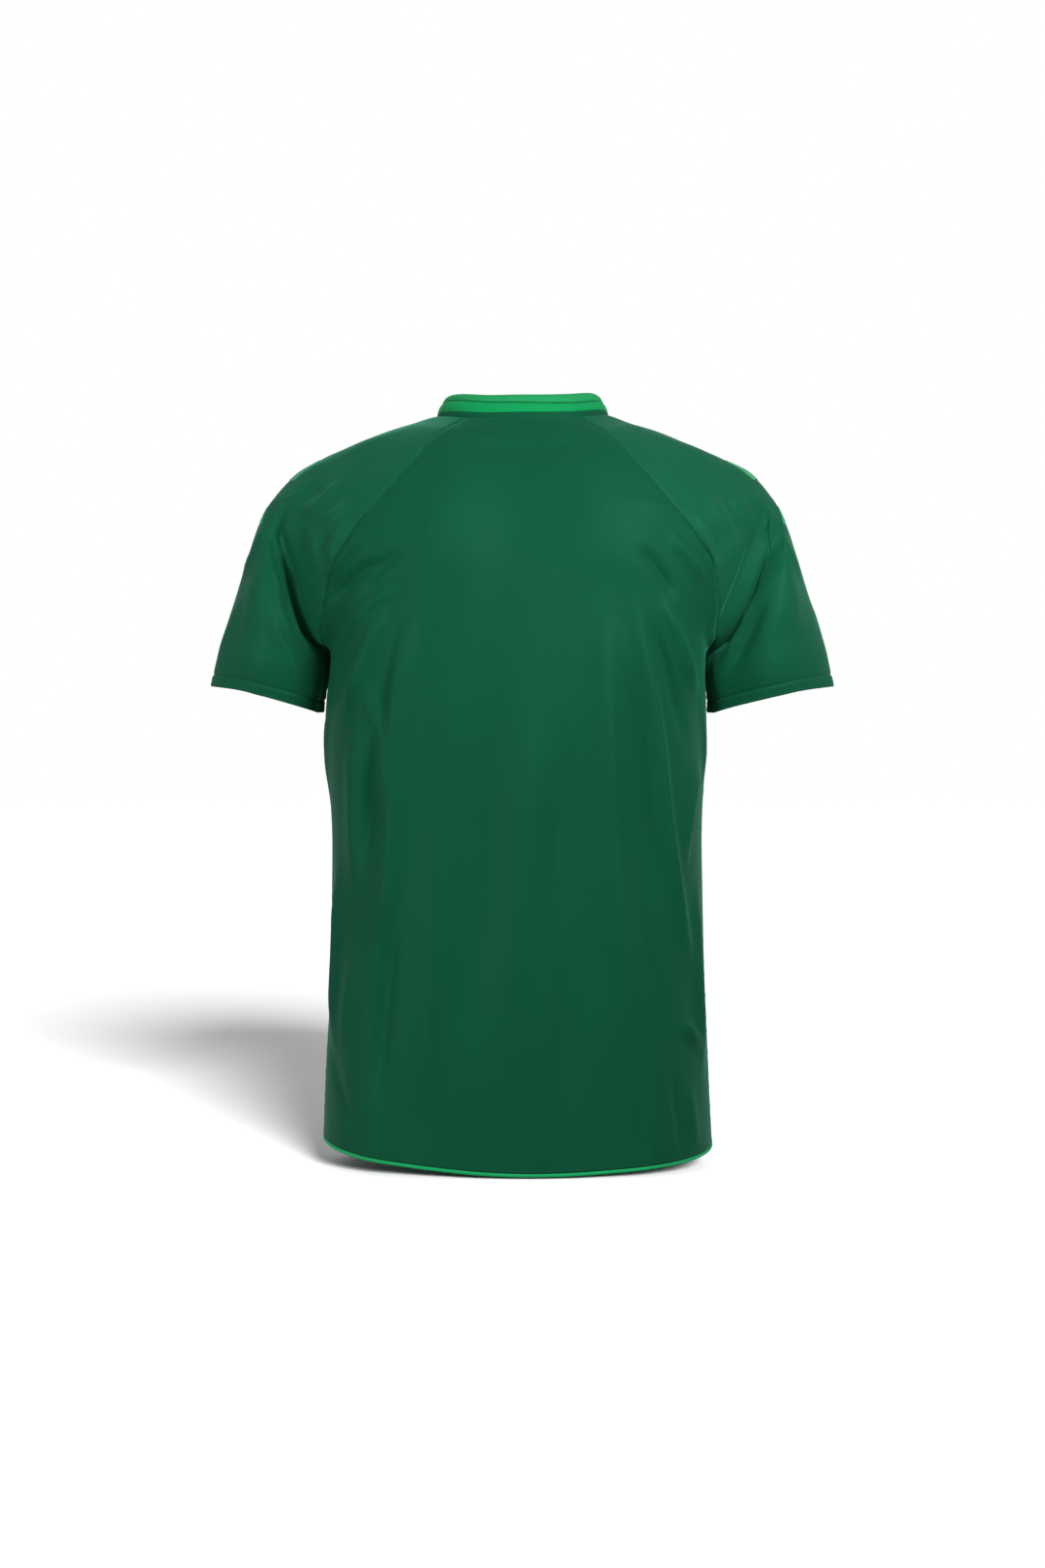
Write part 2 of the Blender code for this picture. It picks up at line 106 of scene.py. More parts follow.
FRONT_ROWS = table(
    ROW_NAMES,
    (0, -0.093, -0.0850, 0.0450, -0.0800, -0.0715),
    (1, -0.103, -0.1000, 0.0560, -0.0965, -0.0885),
    (2, -0.113, -0.1180, 0.0690, -0.1090, -0.1065),
    (3, -0.122, -0.1360, 0.0830, -0.1190, -0.1260),
    (4, -0.130, -0.1550, 0.0985, -0.1255, -0.1470),
    (5, -0.136, -0.1750, 0.1125, -0.1285, -0.1690),
    (6, -0.140, -0.1960, 0.1285, -0.1265, -0.1920),
    (7, -0.142, -0.2180, 0.1410, -0.1210, -0.2170),
    (8, -0.143, -0.2430, 0.1480, -0.1165, -0.2430),
    (9, -0.142, -0.2780, 0.1480, -0.1135, -0.2780),
    (10, -0.141, -0.3210, 0.1457, -0.1100, -0.3205),
    (12, -0.138, -0.4320, 0.1388, -0.1049, -0.4310),
    (14, -0.134, -0.5740, 0.1386, -0.1005, -0.5720),
    (16, -0.130, -0.7220, 0.1432, -0.0972, -0.7190),
)
BACK_RAGLAN = table(
    LINE_NAMES,
    (0, 0.0540, 0.0500, -0.0100),
    (1, 0.0820, 0.0750, -0.0300),
    (2, 0.1090, 0.0945, -0.0565),
    (3, 0.1355, 0.1045, -0.0885),
    (4, 0.1615, 0.0995, -0.1215),
    (5, 0.1815, 0.0865, -0.1570),
    (6, 0.1910, 0.0675, -0.1935),
    (7, 0.1920, 0.0400, -0.2250),
    (8, 0.1840, 0.0000, -0.2380),
)
FRONT_RAGLAN = table(
    LINE_NAMES,
    (0, 0.0740, -0.0440, -0.0265),
    (1, 0.0935, -0.0750, -0.0510),
    (2, 0.1130, -0.0950, -0.0770),
    (3, 0.1330, -0.1060, -0.1040),
    (4, 0.1520, -0.1070, -0.1300),
    (5, 0.1700, -0.0980, -0.1570),
    (6, 0.1820, -0.0790, -0.1870),
    (7, 0.1885, -0.0480, -0.2165),
    (8, 0.1840, 0.0000, -0.2380),
)
SIDE_SEAM = table(
    LINE_NAMES,
    (8, 0.1840, 0.0, -0.2380),
    (9, 0.1850, 0.0, -0.2750),
    (10, 0.1868, 0.0, -0.3200),
    (12, 0.1826, 0.0, -0.4300),
    (14, 0.1848, 0.0, -0.5700),
    (16, 0.1915, 0.0, -0.7155),
)
ARM_RIDGE = table(
    LINE_NAMES,
    (0, 0.0845, 0.002, -0.0045),
    (1, 0.1225, 0.000, -0.0134),
    (2, 0.1600, -0.002, -0.0290),
    (3, 0.1970, -0.004, -0.0455),
    (4, 0.2315, -0.006, -0.0665),
    (5, 0.2565, -0.008, -0.0970),
    (6, 0.2715, -0.010, -0.1345),
    (7, 0.2830, -0.012, -0.1735),
    (8, 0.2945, -0.014, -0.2120),
    (10, 0.3100, -0.022, -0.2690),
)
UNDERARM_SEAM = table(
    LINE_NAMES,
    (8, 0.1840, 0.000, -0.2380),
    (9, 0.1874, -0.009, -0.2670),
    (10, 0.1905, -0.020, -0.2955),
)
SLEEVE_FOLD = table(
    FOLD_NAMES,
    (0, 0.45, 0.0030, 0.62, 0.0032, 0.82, 0.0022, 0.0055),
    (1, 0.46, 0.0070, 0.63, 0.0075, 0.82, 0.0048, 0.0035),
    (2, 0.50, 0.0125, 0.66, 0.0120, 0.84, 0.0074, 0.0015),
    (3, 0.54, 0.0155, 0.70, 0.0145, 0.86, 0.0088, 0.0),
    (4, 0.62, 0.0150, 0.75, 0.0155, 0.88, 0.0105, 0.0),
    (5, 0.68, 0.0070, 0.73, 0.0150, 0.85, 0.0150, 0.0),
    (6, 0.50, 0.0010, 0.43, 0.0090, 0.55, 0.0290, 0.0),
    (7, 0.28, -0.0010, 0.22, 0.0110, 0.46, 0.0410, 0.0),
    (8, 0.05, 0.0120, 0.085, 0.0310, 0.50, 0.0560, 0.0),
    (10, 0.05, 0.0160, 0.10, 0.0390, 0.50, 0.0560, 0.0),
)
BODY_KNOTS = (0.0, 0.25, 0.5, 0.75, 1.0)
SLEEVE_KNOTS = (0.0, 0.2, 0.275, 0.36, 0.5, 0.64, 0.725, 0.8, 1.0)
RIDGE_STEP = 0.05  # how far along the arm to look for its direction
SPREAD_FROM = 7.1  # the station from which body and sleeve leave the raglan seam each in its own direction
FOLD_SHARP = (4.3, 5.8, 7.4, 8.6)  # the stations between which the sleeve's fold has sharp turns

HANG = table("z shift", (-0.740, 0.0045), (-0.430, 0.0055), (-0.300, 0.0065), (-0.160, 0.0), (0.050, 0.0))
HANG_TILT = 0.0038  # how much higher the hem is at the wearer's left side than in the middle
HANG_FROM = -0.3
HANG_TO = -0.7
BODY_REACH = 0.190  # the shift is whole up to here from the middle, and gone at the cuff's reach
CUFF_REACH = 0.300

COLLAR_STRIP = 0.0048
COLLAR_GROOVE = 0.0148
COLLAR_HEIGHT = 0.0240
COLLAR_AXIS = (0.0, -0.1, 1.0)
COLLAR_STEPS = 48
COLLAR_BACK = 0.055
COLLAR_STEEPER = 0.42  # by what share the band leans less at the back, from COLLAR_BACK behind the middle
COLLAR_PROFILE = table("height slope", (0.0, 16), (0.006, 20), (0.012, 27), (0.018, 38), (0.024, 62))
GROOVE_TILT = 0.022  # how the groove drops across the back, in metres for each metre
GROOVE_GAP = 0.0008
GROOVE_SHADE_TAPE = 0.0014  # half the width of the dark tape behind the groove, whose colour is painted shade
SHADE_TAPE_WALL = 0.0006
SHADE_TAPE_PLACE = 0.45  # how deep the dark shade tape lies, as a share of the rib's thickness
STRIP_DEPTH = 0.0026  # how far the strip runs down inside the neck seam
STRIP_WALL = 0.0015
STRIP_BULGE = 0.0002
BAND_BULGE = 0.0007
HEM_EDGE = 0.0036
PIPING_WALL = 0.0017
PIPING_BULGE = 0.0003
PIPING_LEAN = 1.6  # the hem is flat from front to back, so the way out of it leans that way
NECK_POINTS = 420
HEM_POINTS = 900

# The sewing: where the stitches lie, the trench above a folded hem, and the ripples along a seam.
HEM_STITCH_UP = 0.0016
THREAD_LIFT = 0.0001
TRENCH_DEPTH = 0.0012
TRENCH_WIDTH = 0.0013
FOLD_STEP = (0.0008, 0.0006)
FOLD_ROUND_DEPTH = 0.0005
FOLD_ROUND_WIDTH = 0.0007
PUCKER_REACH = 0.006
PUCKER_RUN = (330.0, 0.0, 560.0)

# ---------------------------------------------------------------- the folds
# Each crease is a smooth line through four points, across (a) and up (b), as seen from one side. The cloth
# stands out of its form by the height, which is negative in a trough, and falls away over one width on one
# side of the line and over the other on the other side. The rows are in millimetres.
CREASE_NAMES = "a0 b0 a1 b1 a2 b2 a3 b3 over under height"


def creases(*rows):
    """Name the columns of a table of creases, and bring it from millimetres to metres."""
    return {name: values / 1000 for name, values in table(CREASE_NAMES, *rows).items()}


BACK_CREASES = creases(
    # the left of the back, from the armpit inwards
    (126, -184, 141, -226, 156, -266, 174, -310, 13, 10, 4.2),
    (132, -150, 152, -163, 170, -178, 188, -196, 8, 8, -3),
    (142, -122, 160, -138, 175, -155, 188, -176, 7, 9, 2.4),
    (118, -176, 136, -190, 153, -208, 170, -232, 8, 8, 2.8),
    (110, -146, 126, -154, 140, -166, 152, -180, 8, 8, -1.8),
    (98, -160, 117, -280, 125, -430, 142, -604, 15, 12, 4),
    (112, -190, 136, -290, 146, -390, 154, -480, 10, 10, -2.4),
    (160, -300, 163, -360, 162, -420, 158, -480, 10, 10, 2.2),
    (160, -520, 166, -556, 171, -590, 176, -630, 9, 9, 1.6),
    (190, -616, 182, -646, 173, -674, 160, -706, 6, 9, -1.2),
    (148, -262, 140, -300, 134, -345, 133, -400, 10, 8, 2.6),
    (120, -470, 128, -540, 134, -610, 142, -700, 12, 10, -2.6),
    # the right of the back
    (-140, -128, -152, -142, -164, -158, -174, -178, 9, 8, 2.4),
    (-106, -140, -122, -154, -136, -172, -148, -196, 8, 8, -2.4),
    (-76, -160, -82, -326, -96, -510, -136, -690, 17, 15, 4),
    (-104, -170, -126, -300, -141, -435, -173, -590, 9, 7, 4.8),
    (-92, -190, -110, -300, -119, -400, -132, -500, 8, 8, -2.2),
    (-133, -187, -144, -217, -156, -250, -170, -292, 8, 7, 3.6),
    (-120, -200, -134, -245, -147, -290, -157, -335, 6, 6, -2.4),
    (-174, -335, -166, -370, -160, -402, -158, -456, 14, 2.6, 3),
    (-154, -592, -160, -603, -166, -614, -173, -627, 6, 6, 2.8),
    (-143, -640, -147, -668, -151, -696, -156, -728, 6, 6, -1.2),
    (-108, -664, -112, -686, -116, -708, -121, -732, 7, 6, -0.9),
    (-160, -650, -163, -674, -166, -698, -170, -722, 6, 6, 1),
    # the middle: shoulder blades, the dip under the neck, long soft waves
    (90, -70, 74, -104, 62, -138, 50, -190, 52, 44, 0.8),
    (-96, -72, -86, -106, -76, -140, -64, -190, 44, 52, 0.8),
    (72, -34, 26, -42, -26, -42, -72, -34, 12, 10, -2.2),
    (24, -250, 34, -380, 40, -500, 52, -660, 30, 24, -3.8),
    (-34, -290, -40, -420, -46, -560, -50, -700, 24, 22, -3.2),
    (-4, -220, -4, -360, -2, -480, 6, -640, 20, 22, 2.2),
    (78, -330, 82, -450, 86, -560, 98, -690, 18, 20, 2.4),
    # the left sleeve: its cap, the deep fold into the armpit, and the tube
    (174, -70, 188, -84, 201, -96, 217, -108, 6, 9, 1.7),
    (196, -74, 205, -82, 214, -90, 226, -98, 6, 6, -1.1),
    (166, -96, 175, -102, 183, -109, 192, -116, 4, 6, 1.4),
    (162, -107, 174, -124, 181, -142, 186, -163, 7, 5, 1.7),
    (180, -122, 188, -131, 195, -141, 200, -156, 5, 5, -1.2),
    (208, -110, 204, -128, 199, -146, 194, -170, 7, 7, 1.4),
    (242, -92, 232, -132, 215, -186, 195, -248, 4, 5, -1.2),
    (254, -94, 246, -146, 229, -204, 204, -270, 7, 4.5, 2),
    (241, -168, 230, -196, 219, -224, 208, -256, 5, 5, -2),
    (246, -196, 236, -222, 225, -247, 212, -278, 7, 6, 2.4),
    (262, -150, 264, -180, 268, -210, 276, -246, 10, 9, 0.7),
    # the right sleeve: the same, with its own bends
    (-174, -76, -190, -104, -203, -134, -187, -170, 10, 6, 1.8),
    (-166, -96, -178, -118, -186, -140, -188, -164, 5, 5, -1.3),
    (-203, -78, -211, -91, -216, -105, -218, -122, 12, 10, 1.2),
    (-194, -80, -201, -96, -207, -114, -208, -132, 5, 5, -1.6),
    (-234, -96, -220, -146, -204, -190, -182, -236, 6.5, 4.5, -2.2),
    (-245, -92, -230, -146, -213, -192, -190, -240, 4.5, 7, 2.2),
    (-228, -176, -216, -204, -204, -230, -192, -262, 5, 5, 2.4),
    (-240, -180, -227, -208, -213, -236, -198, -268, 6, 6, -2.4),
    (-256, -120, -260, -160, -264, -200, -272, -242, 12, 12, 1.4),
    (-164, -100, -174, -124, -181, -148, -183, -176, 5, 6, 1.8),
)
FRONT_CREASES = creases(
    (112, -192, 126, -270, 134, -350, 142, -440, 12, 12, 4.2),
    (140, -186, 150, -214, 159, -246, 172, -284, 8, 7, 3.4),
    (128, -178, 140, -206, 150, -236, 160, -270, 6, 6, -2.4),
    (60, -210, 64, -340, 72, -470, 90, -640, 18, 16, 4.2),
    (90, -300, 96, -400, 104, -500, 116, -620, 12, 12, -2.8),
    (166, -380, 160, -440, 158, -500, 162, -570, 10, 8, 2.8),
    (12, -260, 14, -400, 20, -540, 28, -690, 26, 22, -3.6),
    (-30, -230, -28, -360, -34, -500, -44, -660, 20, 18, 3),
    (-92, -180, -106, -270, -116, -360, -134, -480, 11, 12, 4.4),
    (-76, -300, -82, -420, -94, -540, -118, -680, 16, 14, 3.6),
    (-128, -182, -140, -212, -152, -246, -168, -290, 8, 8, 3.4),
    (-114, -190, -126, -226, -138, -262, -150, -300, 6, 6, -2.4),
    (-168, -420, -163, -466, -162, -520, -168, -590, 10, 9, 2.6),
    (150, -664, 154, -680, 157, -696, 160, -715, 6, 6, -2.6),
    (-136, -656, -139, -674, -142, -692, -146, -714, 7, 6, 2.6),
    (70, -100, 78, -124, 84, -150, 86, -180, 28, 26, 3.6),
    (-72, -102, -78, -126, -82, -152, -84, -182, 26, 28, 3.6),
    (175, -90, 188, -104, 198, -122, 206, -146, 7, 7, 3),
    (162, -112, 172, -128, 180, -146, 186, -168, 6, 6, 2.6),
    (246, -108, 236, -130, 224, -152, 210, -180, 10, 8, 2.8),
    (244, -190, 236, -214, 226, -238, 214, -268, 8, 8, 3),
    (-172, -92, -186, -108, -197, -128, -204, -152, 7, 7, 3),
    (-158, -116, -169, -134, -178, -152, -184, -174, 6, 6, 2.4),
    (-247, -112, -236, -134, -224, -156, -209, -184, 8, 10, 2.8),
    (-240, -196, -230, -218, -220, -240, -206, -270, 8, 8, 3),
)
# Seen from the wearer's sides, across is towards the back.
LEFT_CREASES = creases(
    (30, -250, 30, -280, 30, -310, 30, -350, 30, 50, 0.3),
    (46, -96, 30, -120, 16, -146, 6, -176, 10, 8, 1.4),
    (-50, -100, -40, -128, -34, -158, -34, -190, 8, 10, 1.8),
    (24, -176, 12, -200, 2, -224, -6, -252, 9, 9, 0.7),
    (60, -280, 40, -310, 26, -345, 18, -390, 10, 8, 1.3),
    (-64, -284, -44, -314, -30, -350, -24, -400, 9, 10, 1.6),
    (0, -300, -2, -340, -6, -380, -4, -430, 7, 7, -1.6),
    (52, -430, 46, -500, 40, -570, 48, -640, 13, 12, 3),
    (-56, -440, -50, -520, -52, -600, -60, -690, 13, 13, 3),
)
RIGHT_CREASES = creases(
    (30, -250, 30, -280, 30, -310, 30, -350, 30, 50, 0.3),
    (48, -100, 36, -126, 24, -152, 12, -182, 9, 9, 1.4),
    (-46, -96, -38, -122, -30, -152, -28, -184, 9, 9, 1.8),
    (-8, -178, -14, -204, -18, -230, -16, -256, 9, 9, 0.7),
    (66, -276, 48, -302, 32, -336, 22, -380, 9, 9, 1.3),
    (-58, -290, -42, -324, -32, -362, -30, -410, 10, 9, 1.6),
    (44, -450, 50, -520, 46, -590, 40, -660, 12, 12, 3),
    (-48, -470, -54, -540, -52, -610, -46, -680, 13, 12, 2.8),
)
# Small slow waves all over: how fast each runs across, front to back and up, its start and its height.
WAVES = table(
    "across deep up start height",
    (74.0, 31.0, 9.0, 0.4, 0.00035),
    (-52.0, 44.0, 14.0, 2.1, 0.00040),
    (118.0, -38.0, 22.0, 4.0, 0.00022),
    (-97.0, 61.0, -31.0, 5.2, 0.00022),
    (33.0, 27.0, -40.0, 1.3, 0.00035),
)
CREASE_POINTS = 28
CREASE_TAPER = 0.34  # the share of its length over which a crease runs out at each end
VIEW_LOW = 0.08  # how far a surface has to face a side before its creases begin to show there
VIEW_HIGH = 0.45
ARMPIT_CALM = (0.012, 0.050)  # no creases nearer to the armpit's point than this, and all of them beyond
EASE_ROWS = 15
EASE_REACH = 0.030
SHOULDER_SINK = 0.0030
CUFF_LIFT = 0.0085  # how much higher the cuff hangs between the ridge of the arm and its fold
SHOULDER_CORNER = (0.10, 0.40, 0.60, 0.85)  # how far up the cloth faces where it bends over the shoulder
SHOULDER_TOP = (0.84, 0.95)
NECK_EASE = 0.03  # how far from the neck the shoulder is sunk all the way
LIFTED = (0.19, 0.36, 0.38, 0.50)  # shares of the sleeve between which the cuff is lifted

# The shoulder bars: the stations each lies between, and where it starts on the sleeve, from the back seam.
BARS = (("wide", 3.2, 4.0, 0.330), ("narrow", 4.85, 5.25, 0.375))
BAR_END = 0.74
BAR_CORNER = 0.1
BAR_TAPER = 0.35
TURN = 6.2832  # one full turn, in radians
FLOOR_GAP = 0.002
AIM = (0.0, 0.0, -0.35)


# ---------------------------------------------------------------- settings
def metres(name, description, default):
    """Describe a length that a user can change."""
    return bpy.props.FloatProperty(name=name, description=description, default=default, unit="LENGTH")


def number(name, description, default):
    """Describe a plain number that a user can change."""
    return bpy.props.FloatProperty(name=name, description=description, default=default)


def colour(name, description, default):
    """Describe a colour that a user can change."""
    return bpy.props.FloatVectorProperty(
        name=name, description=description, default=default, size=3, min=0.0, max=1.0, subtype="COLOR"
    )


class JerseySizes(bpy.types.PropertyGroup):
    """Sizes of the cloth, its seams and its stitches."""

    wall: metres("Cloth thickness", "Thickness of the knit", 0.0008)
    seam_gap: metres("Seam gap", "Space between two sewn edges", 0.0001)
    seam_depth: metres("Seam depth", "How far a sewn edge sinks", 0.0013)
    seam_width: metres("Seam width", "How far from a seam the cloth dips", 0.0022)
    seam_lap: metres("Seam lap", "How far the collar's rounded edges press together", 0.0004)
    pucker: metres("Pucker", "Height of the ripples along a seam", 0.00035)
    cuff_hem: metres("Cuff hem", "Depth of the sleeves' folded hem", 0.0118)
    hem_fold: metres("Fold thickness", "How far the folded hem stands out", 0.0005)
    fold_depth: number("Fold depth", "Share of the folds' full depth", 2.2)
    fold_width: number("Fold width", "Share of the folds' full width", 0.76)
    stitch_pitch: metres("Stitch pitch", "From one stitch to the next", 0.0027)
    stitch_length: metres("Stitch length", "Length of one stitch", 0.0021)
    thread: metres("Thread", "Thickness of the sewing thread", 0.00042)
    rib_wall: metres("Collar thickness", "Thickness of the doubled rib", 0.0021)
    bar_wall: metres("Bar thickness", "Thickness of the shoulder bars", 0.0004)
    wale: metres("Wale", "Width of one column of knit loops", 0.0011)
    course: metres("Course", "Height of one row of knit loops", 0.0009)
    rib: metres("Rib", "Width of one rib of the collar", 0.0014)


class JerseyColours(bpy.types.PropertyGroup):
    """Colours of the cloth and its trims."""

    body: colour("Body", "Dark green knit of the back and front", (0.0036, 0.060, 0.0275))
    # The sleeves' green is set lighter than the body's: painted sheen for the sleeves' other grain.
    sleeve: colour("Sleeves", "The same knit, cut along another grain", (0.0048, 0.073, 0.0350))
    # The strip's own dark green, set a little lighter than the body's as painted light against the collar's
    # shadow.
    binding: colour("Neck strip", "Dark green binding in the neck seam", (0.0036, 0.062, 0.0285))
    band: colour("Collar", "Bright green rib", (0.004, 0.218, 0.061))
    band_edge: colour("Collar edge", "Bright green rib where it turns over", (0.012, 0.220, 0.070))
    piping: colour("Hem edging", "Bright green edging", (0.010, 0.300, 0.095))
    bars: colour("Shoulder bars", "Bright green patches", (0.020, 0.290, 0.115))
    thread: colour("Thread", "Green sewing thread", (0.004, 0.058, 0.028))


class StudioSettings(bpy.types.PropertyGroup):
    """Floor, lights and camera."""

    floor: colour("Floor", "Colour of the plain floor", (0.95, 0.95, 0.95))
    sky: number("Sky", "Strength of the soft light all round", 0.40)
    sun: number("Floor light", "Strength of the low light on the floor", 8.8)
    key: number("Key", "Power of the soft light above the back", 18.0)
    rim: number("Rim", "Power of the soft light at the side", 1.6)
    fill: number("Fill", "Power of the low soft light behind", 27.0)
    front: number("Front", "Power of the soft light before the front", 20.0)
    lens: number("Lens", "Focal length in millimetres", 69.8)
    distance: metres("Distance", "From the camera to the neck", 3.0)
    height: metres("Height", "The camera's height over the neck", -0.3667)


# ---------------------------------------------------------------- curves
def smoothstep(low, high, value):
    """Go from 0 at low to 1 at high with no corner."""
    share = np.clip((np.asarray(value, dtype=float) - low) / (high - low), 0.0, 1.0)
    return share * share * (3.0 - 2.0 * share)


def between_steps(ends, value):
    """Go from 0 up to 1 over the first two ends, and back to 0 over the last two."""
    return smoothstep(ends[0], ends[1], value) * (1 - smoothstep(ends[2], ends[3], value))


def unit(vectors):
    """Scale vectors to length one."""
    return vectors / np.maximum(np.linalg.norm(vectors, axis=-1, keepdims=True), 1e-9)


def read(rows, stations, names):
    """Read named columns of a table at stations, on a smooth curve through its rows."""
    knots = next(iter(rows.values()))
    values = np.stack([rows[name] for name in names.split()], axis=1)
    slopes = np.gradient(values, knots, axis=0)
    stations = np.atleast_1d(np.asarray(stations, dtype=float))
    place = np.clip(np.searchsorted(knots, stations, side="right") - 1, 0, len(knots) - 2)
    span = (knots[place + 1] - knots[place])[:, None]
    share = (stations[:, None] - knots[place][:, None]) / span
    return (
        values[place] * (1 + 2 * share) * (1 - share) ** 2
        + slopes[place] * span * share * (1 - share) ** 2
        + values[place + 1] * share**2 * (3 - 2 * share)
        + slopes[place + 1] * span * share**2 * (share - 1)
    )


def rows_through(keys, knots, corners, first, last, along):
    """Draw each row as a smooth curve through its key points, with sharp turns where corners is 1."""
    knots = np.asarray(knots, dtype=float)
    spans = np.diff(knots)
    chords = np.diff(keys, axis=1) / spans[None, :, None]
    before = np.concatenate([chords[:, :1], chords], axis=1)
    after = np.concatenate([chords, chords[:, -1:]], axis=1)
    middle = (before + after) / 2
    sharp = corners[:, :, None]
    leaving = middle * (1 - sharp) + after * sharp
    arriving = middle * (1 - sharp) + before * sharp
    leaving[:, 0] = first * np.linalg.norm(chords[:, 0], axis=-1, keepdims=True)
    arriving[:, -1] = last * np.linalg.norm(chords[:, -1], axis=-1, keepdims=True)
    place = np.clip(np.searchsorted(knots, along, side="right") - 1, 0, len(spans) - 1)
    span = spans[place][None, :, None]
    share = ((along - knots[place]) / spans[place])[None, :, None]
    return (
        keys[:, place] * (1 + 2 * share) * (1 - share) ** 2
        + leaving[:, place] * span * share * (1 - share) ** 2
        + keys[:, place + 1] * share**2 * (3 - 2 * share)
        + arriving[:, place + 1] * span * share**2 * (share - 1)
    )


def crowded(count, at_start, at_end, reach=0.03):
    """Share out 0 to 1 in steps that are closer together at the start and the end."""
    share = np.linspace(0.0, 1.0, 4001)
    density = 1.0 + at_start * np.exp(-share / reach) + at_end * np.exp(-(1.0 - share) / reach)
    total = np.concatenate([[0.0], np.cumsum((density[1:] + density[:-1]) / 2)])
    return np.interp(np.linspace(0.0, 1.0, count + 1), total / total[-1], share)


# ---------------------------------------------------------------- the form
def seam_line(side, stations):
    """Follow the raglan of the back (+1) or the front (-1), and the side seam below it."""
    raglan = read(BACK_RAGLAN if side > 0 else FRONT_RAGLAN, np.minimum(stations, ARMPIT), "x y z")
    side_seam = read(SIDE_SEAM, np.maximum(stations, ARMPIT), "x y z")
    return np.where((stations >= ARMPIT)[:, None], side_seam, raglan)


def body_keys(side, stations):
    """Find centre, middle and seam points of the back (+1) or the front (-1)."""
    rows = BACK_ROWS if side > 0 else FRONT_ROWS
    centre = np.insert(read(rows, stations, "centre_y centre_z"), 0, 0.0, axis=1)
    middle = read(rows, stations, "middle_x middle_y middle_z")
    return centre, middle, seam_line(side, stations)


def sleeve_keys(side, stations):
    """Find seam, valley, lip, crest and ridge points of the left sleeve's back or front half."""
    ridge = read(ARM_RIDGE, stations, "x y z")
    under_arm = read(UNDERARM_SEAM, np.maximum(stations, ARMPIT), "x y z")
    seam = np.where((stations >= ARMPIT)[:, None], under_arm, seam_line(side, stations))
    below = read(ARM_RIDGE, np.minimum(stations + RIDGE_STEP, CUFF), "x y z")
    down_arm = below - read(ARM_RIDGE, np.maximum(stations - RIDGE_STEP, 0.0), "x y z")
    chord = ridge - seam
    along = unit(chord)
    outward = unit(np.cross(chord, down_arm)) * side
    down_arm = unit(down_arm - along * np.sum(down_arm * along, axis=1, keepdims=True))
    points = [seam]
    for line in ("valley", "lip", "crest"):
        share, rise, bow = np.split(read(SLEEVE_FOLD, stations, f"{line} {line}_rise bow"), 3, axis=1)
        bow = bow * 4 * share * (1 - share)
        points.append(seam + chord * share + outward * rise + down_arm * bow)
    points.append(ridge)
    return points


def seam_directions(side, stations):
    """Find how the cloth crosses the raglan seam, for the body and for the sleeve."""
    here = body_keys(side, stations)
    other = body_keys(-side, stations)
    valley = sleeve_keys(side, np.minimum(stations, CUFF))[1]
    other_valley = sleeve_keys(-side, np.minimum(stations, CUFF))[1]
    shared = unit(valley - here[1])
    apart = smoothstep(SPREAD_FROM, ARMPIT, stations)[:, None]
    body = unit(shared * (1 - apart) + unit(other[1] - here[1]) * apart)
    sleeve = unit(shared * (1 - apart) + unit(valley - other_valley) * apart)
    return body, sleeve


def body_panel(side, stations, along):
    """Lay out the back from the wearer's right to left, or the front from left to right."""
    centre, middle, seam = body_keys(side, stations)
    across = seam_directions(side, stations)[0]
    mirror = np.array([-1.0, 1.0, 1.0])
    keys = np.stack([seam * mirror, middle * mirror, centre, middle, seam], axis=1)
    first = across * np.array([1.0, -1.0, -1.0])
    last = across
    if side < 0:
        keys = keys[:, ::-1]
        first = across * -1.0
        last = across * mirror
    return rows_through(keys, BODY_KNOTS, np.zeros(keys.shape[:2]), first, last, along)


def sleeve_panel(stations, along):
    """Lay out the left sleeve from its back seam over the arm to its front seam."""
    back = sleeve_keys(1, stations)
    front = sleeve_keys(-1, stations)
    keys = np.stack(back + front[-2::-1], axis=1)
    corners = np.zeros(keys.shape[:2])
    corners[:, 1] = corners[:, -2] = between_steps(FOLD_SHARP, stations)
    first = seam_directions(1, stations)[1]
    last = -seam_directions(-1, stations)[1]
    return rows_through(keys, SLEEVE_KNOTS, corners, first, last, along)


def hang(points):
    """Shift and tilt the cloth the way the whole garment hangs."""
    shift = read(HANG, points[..., 2].ravel(), "shift").reshape(points.shape[:-1])
    reach = 1 - smoothstep(BODY_REACH, CUFF_REACH, np.abs(points[..., 0]))
    low = smoothstep(HANG_FROM, HANG_TO, points[..., 2])
    moved = points.copy()
    moved[..., 2] += HANG_TILT * low * points[..., 0] / BODY_REACH
    moved[..., 0] += shift * reach
    return moved


def normals(points):
    """Find the outward direction at each point of a grid."""
    return unit(np.cross(np.gradient(points, axis=1), np.gradient(points, axis=0)))


def run(points, axis):
    """Measure along the cloth from its first row or column."""
    steps = np.linalg.norm(np.diff(points, axis=axis), axis=-1)
    start = np.zeros_like(np.take(steps, [0], axis=axis))
    return np.concatenate([start, np.cumsum(steps, axis=axis)], axis=axis)


# Which panel edges are sewn together: panel, edge column, panel, edge column, and on which rows.
JOINS = (
    ("back", -1, "sleeve_left", 0, "yoke"),
    ("sleeve_left", -1, "front", 0, "yoke"),
    ("front", -1, "sleeve_right", 0, "yoke"),
    ("sleeve_right", -1, "back", 0, "yoke"),
    ("back", -1, "front", 0, "lower"),
    ("front", -1, "back", 0, "lower"),
    ("sleeve_left", 0, "sleeve_left", -1, "lower"),
    ("sleeve_right", 0, "sleeve_right", -1, "lower"),
)
JOIN_REACH = 0.016


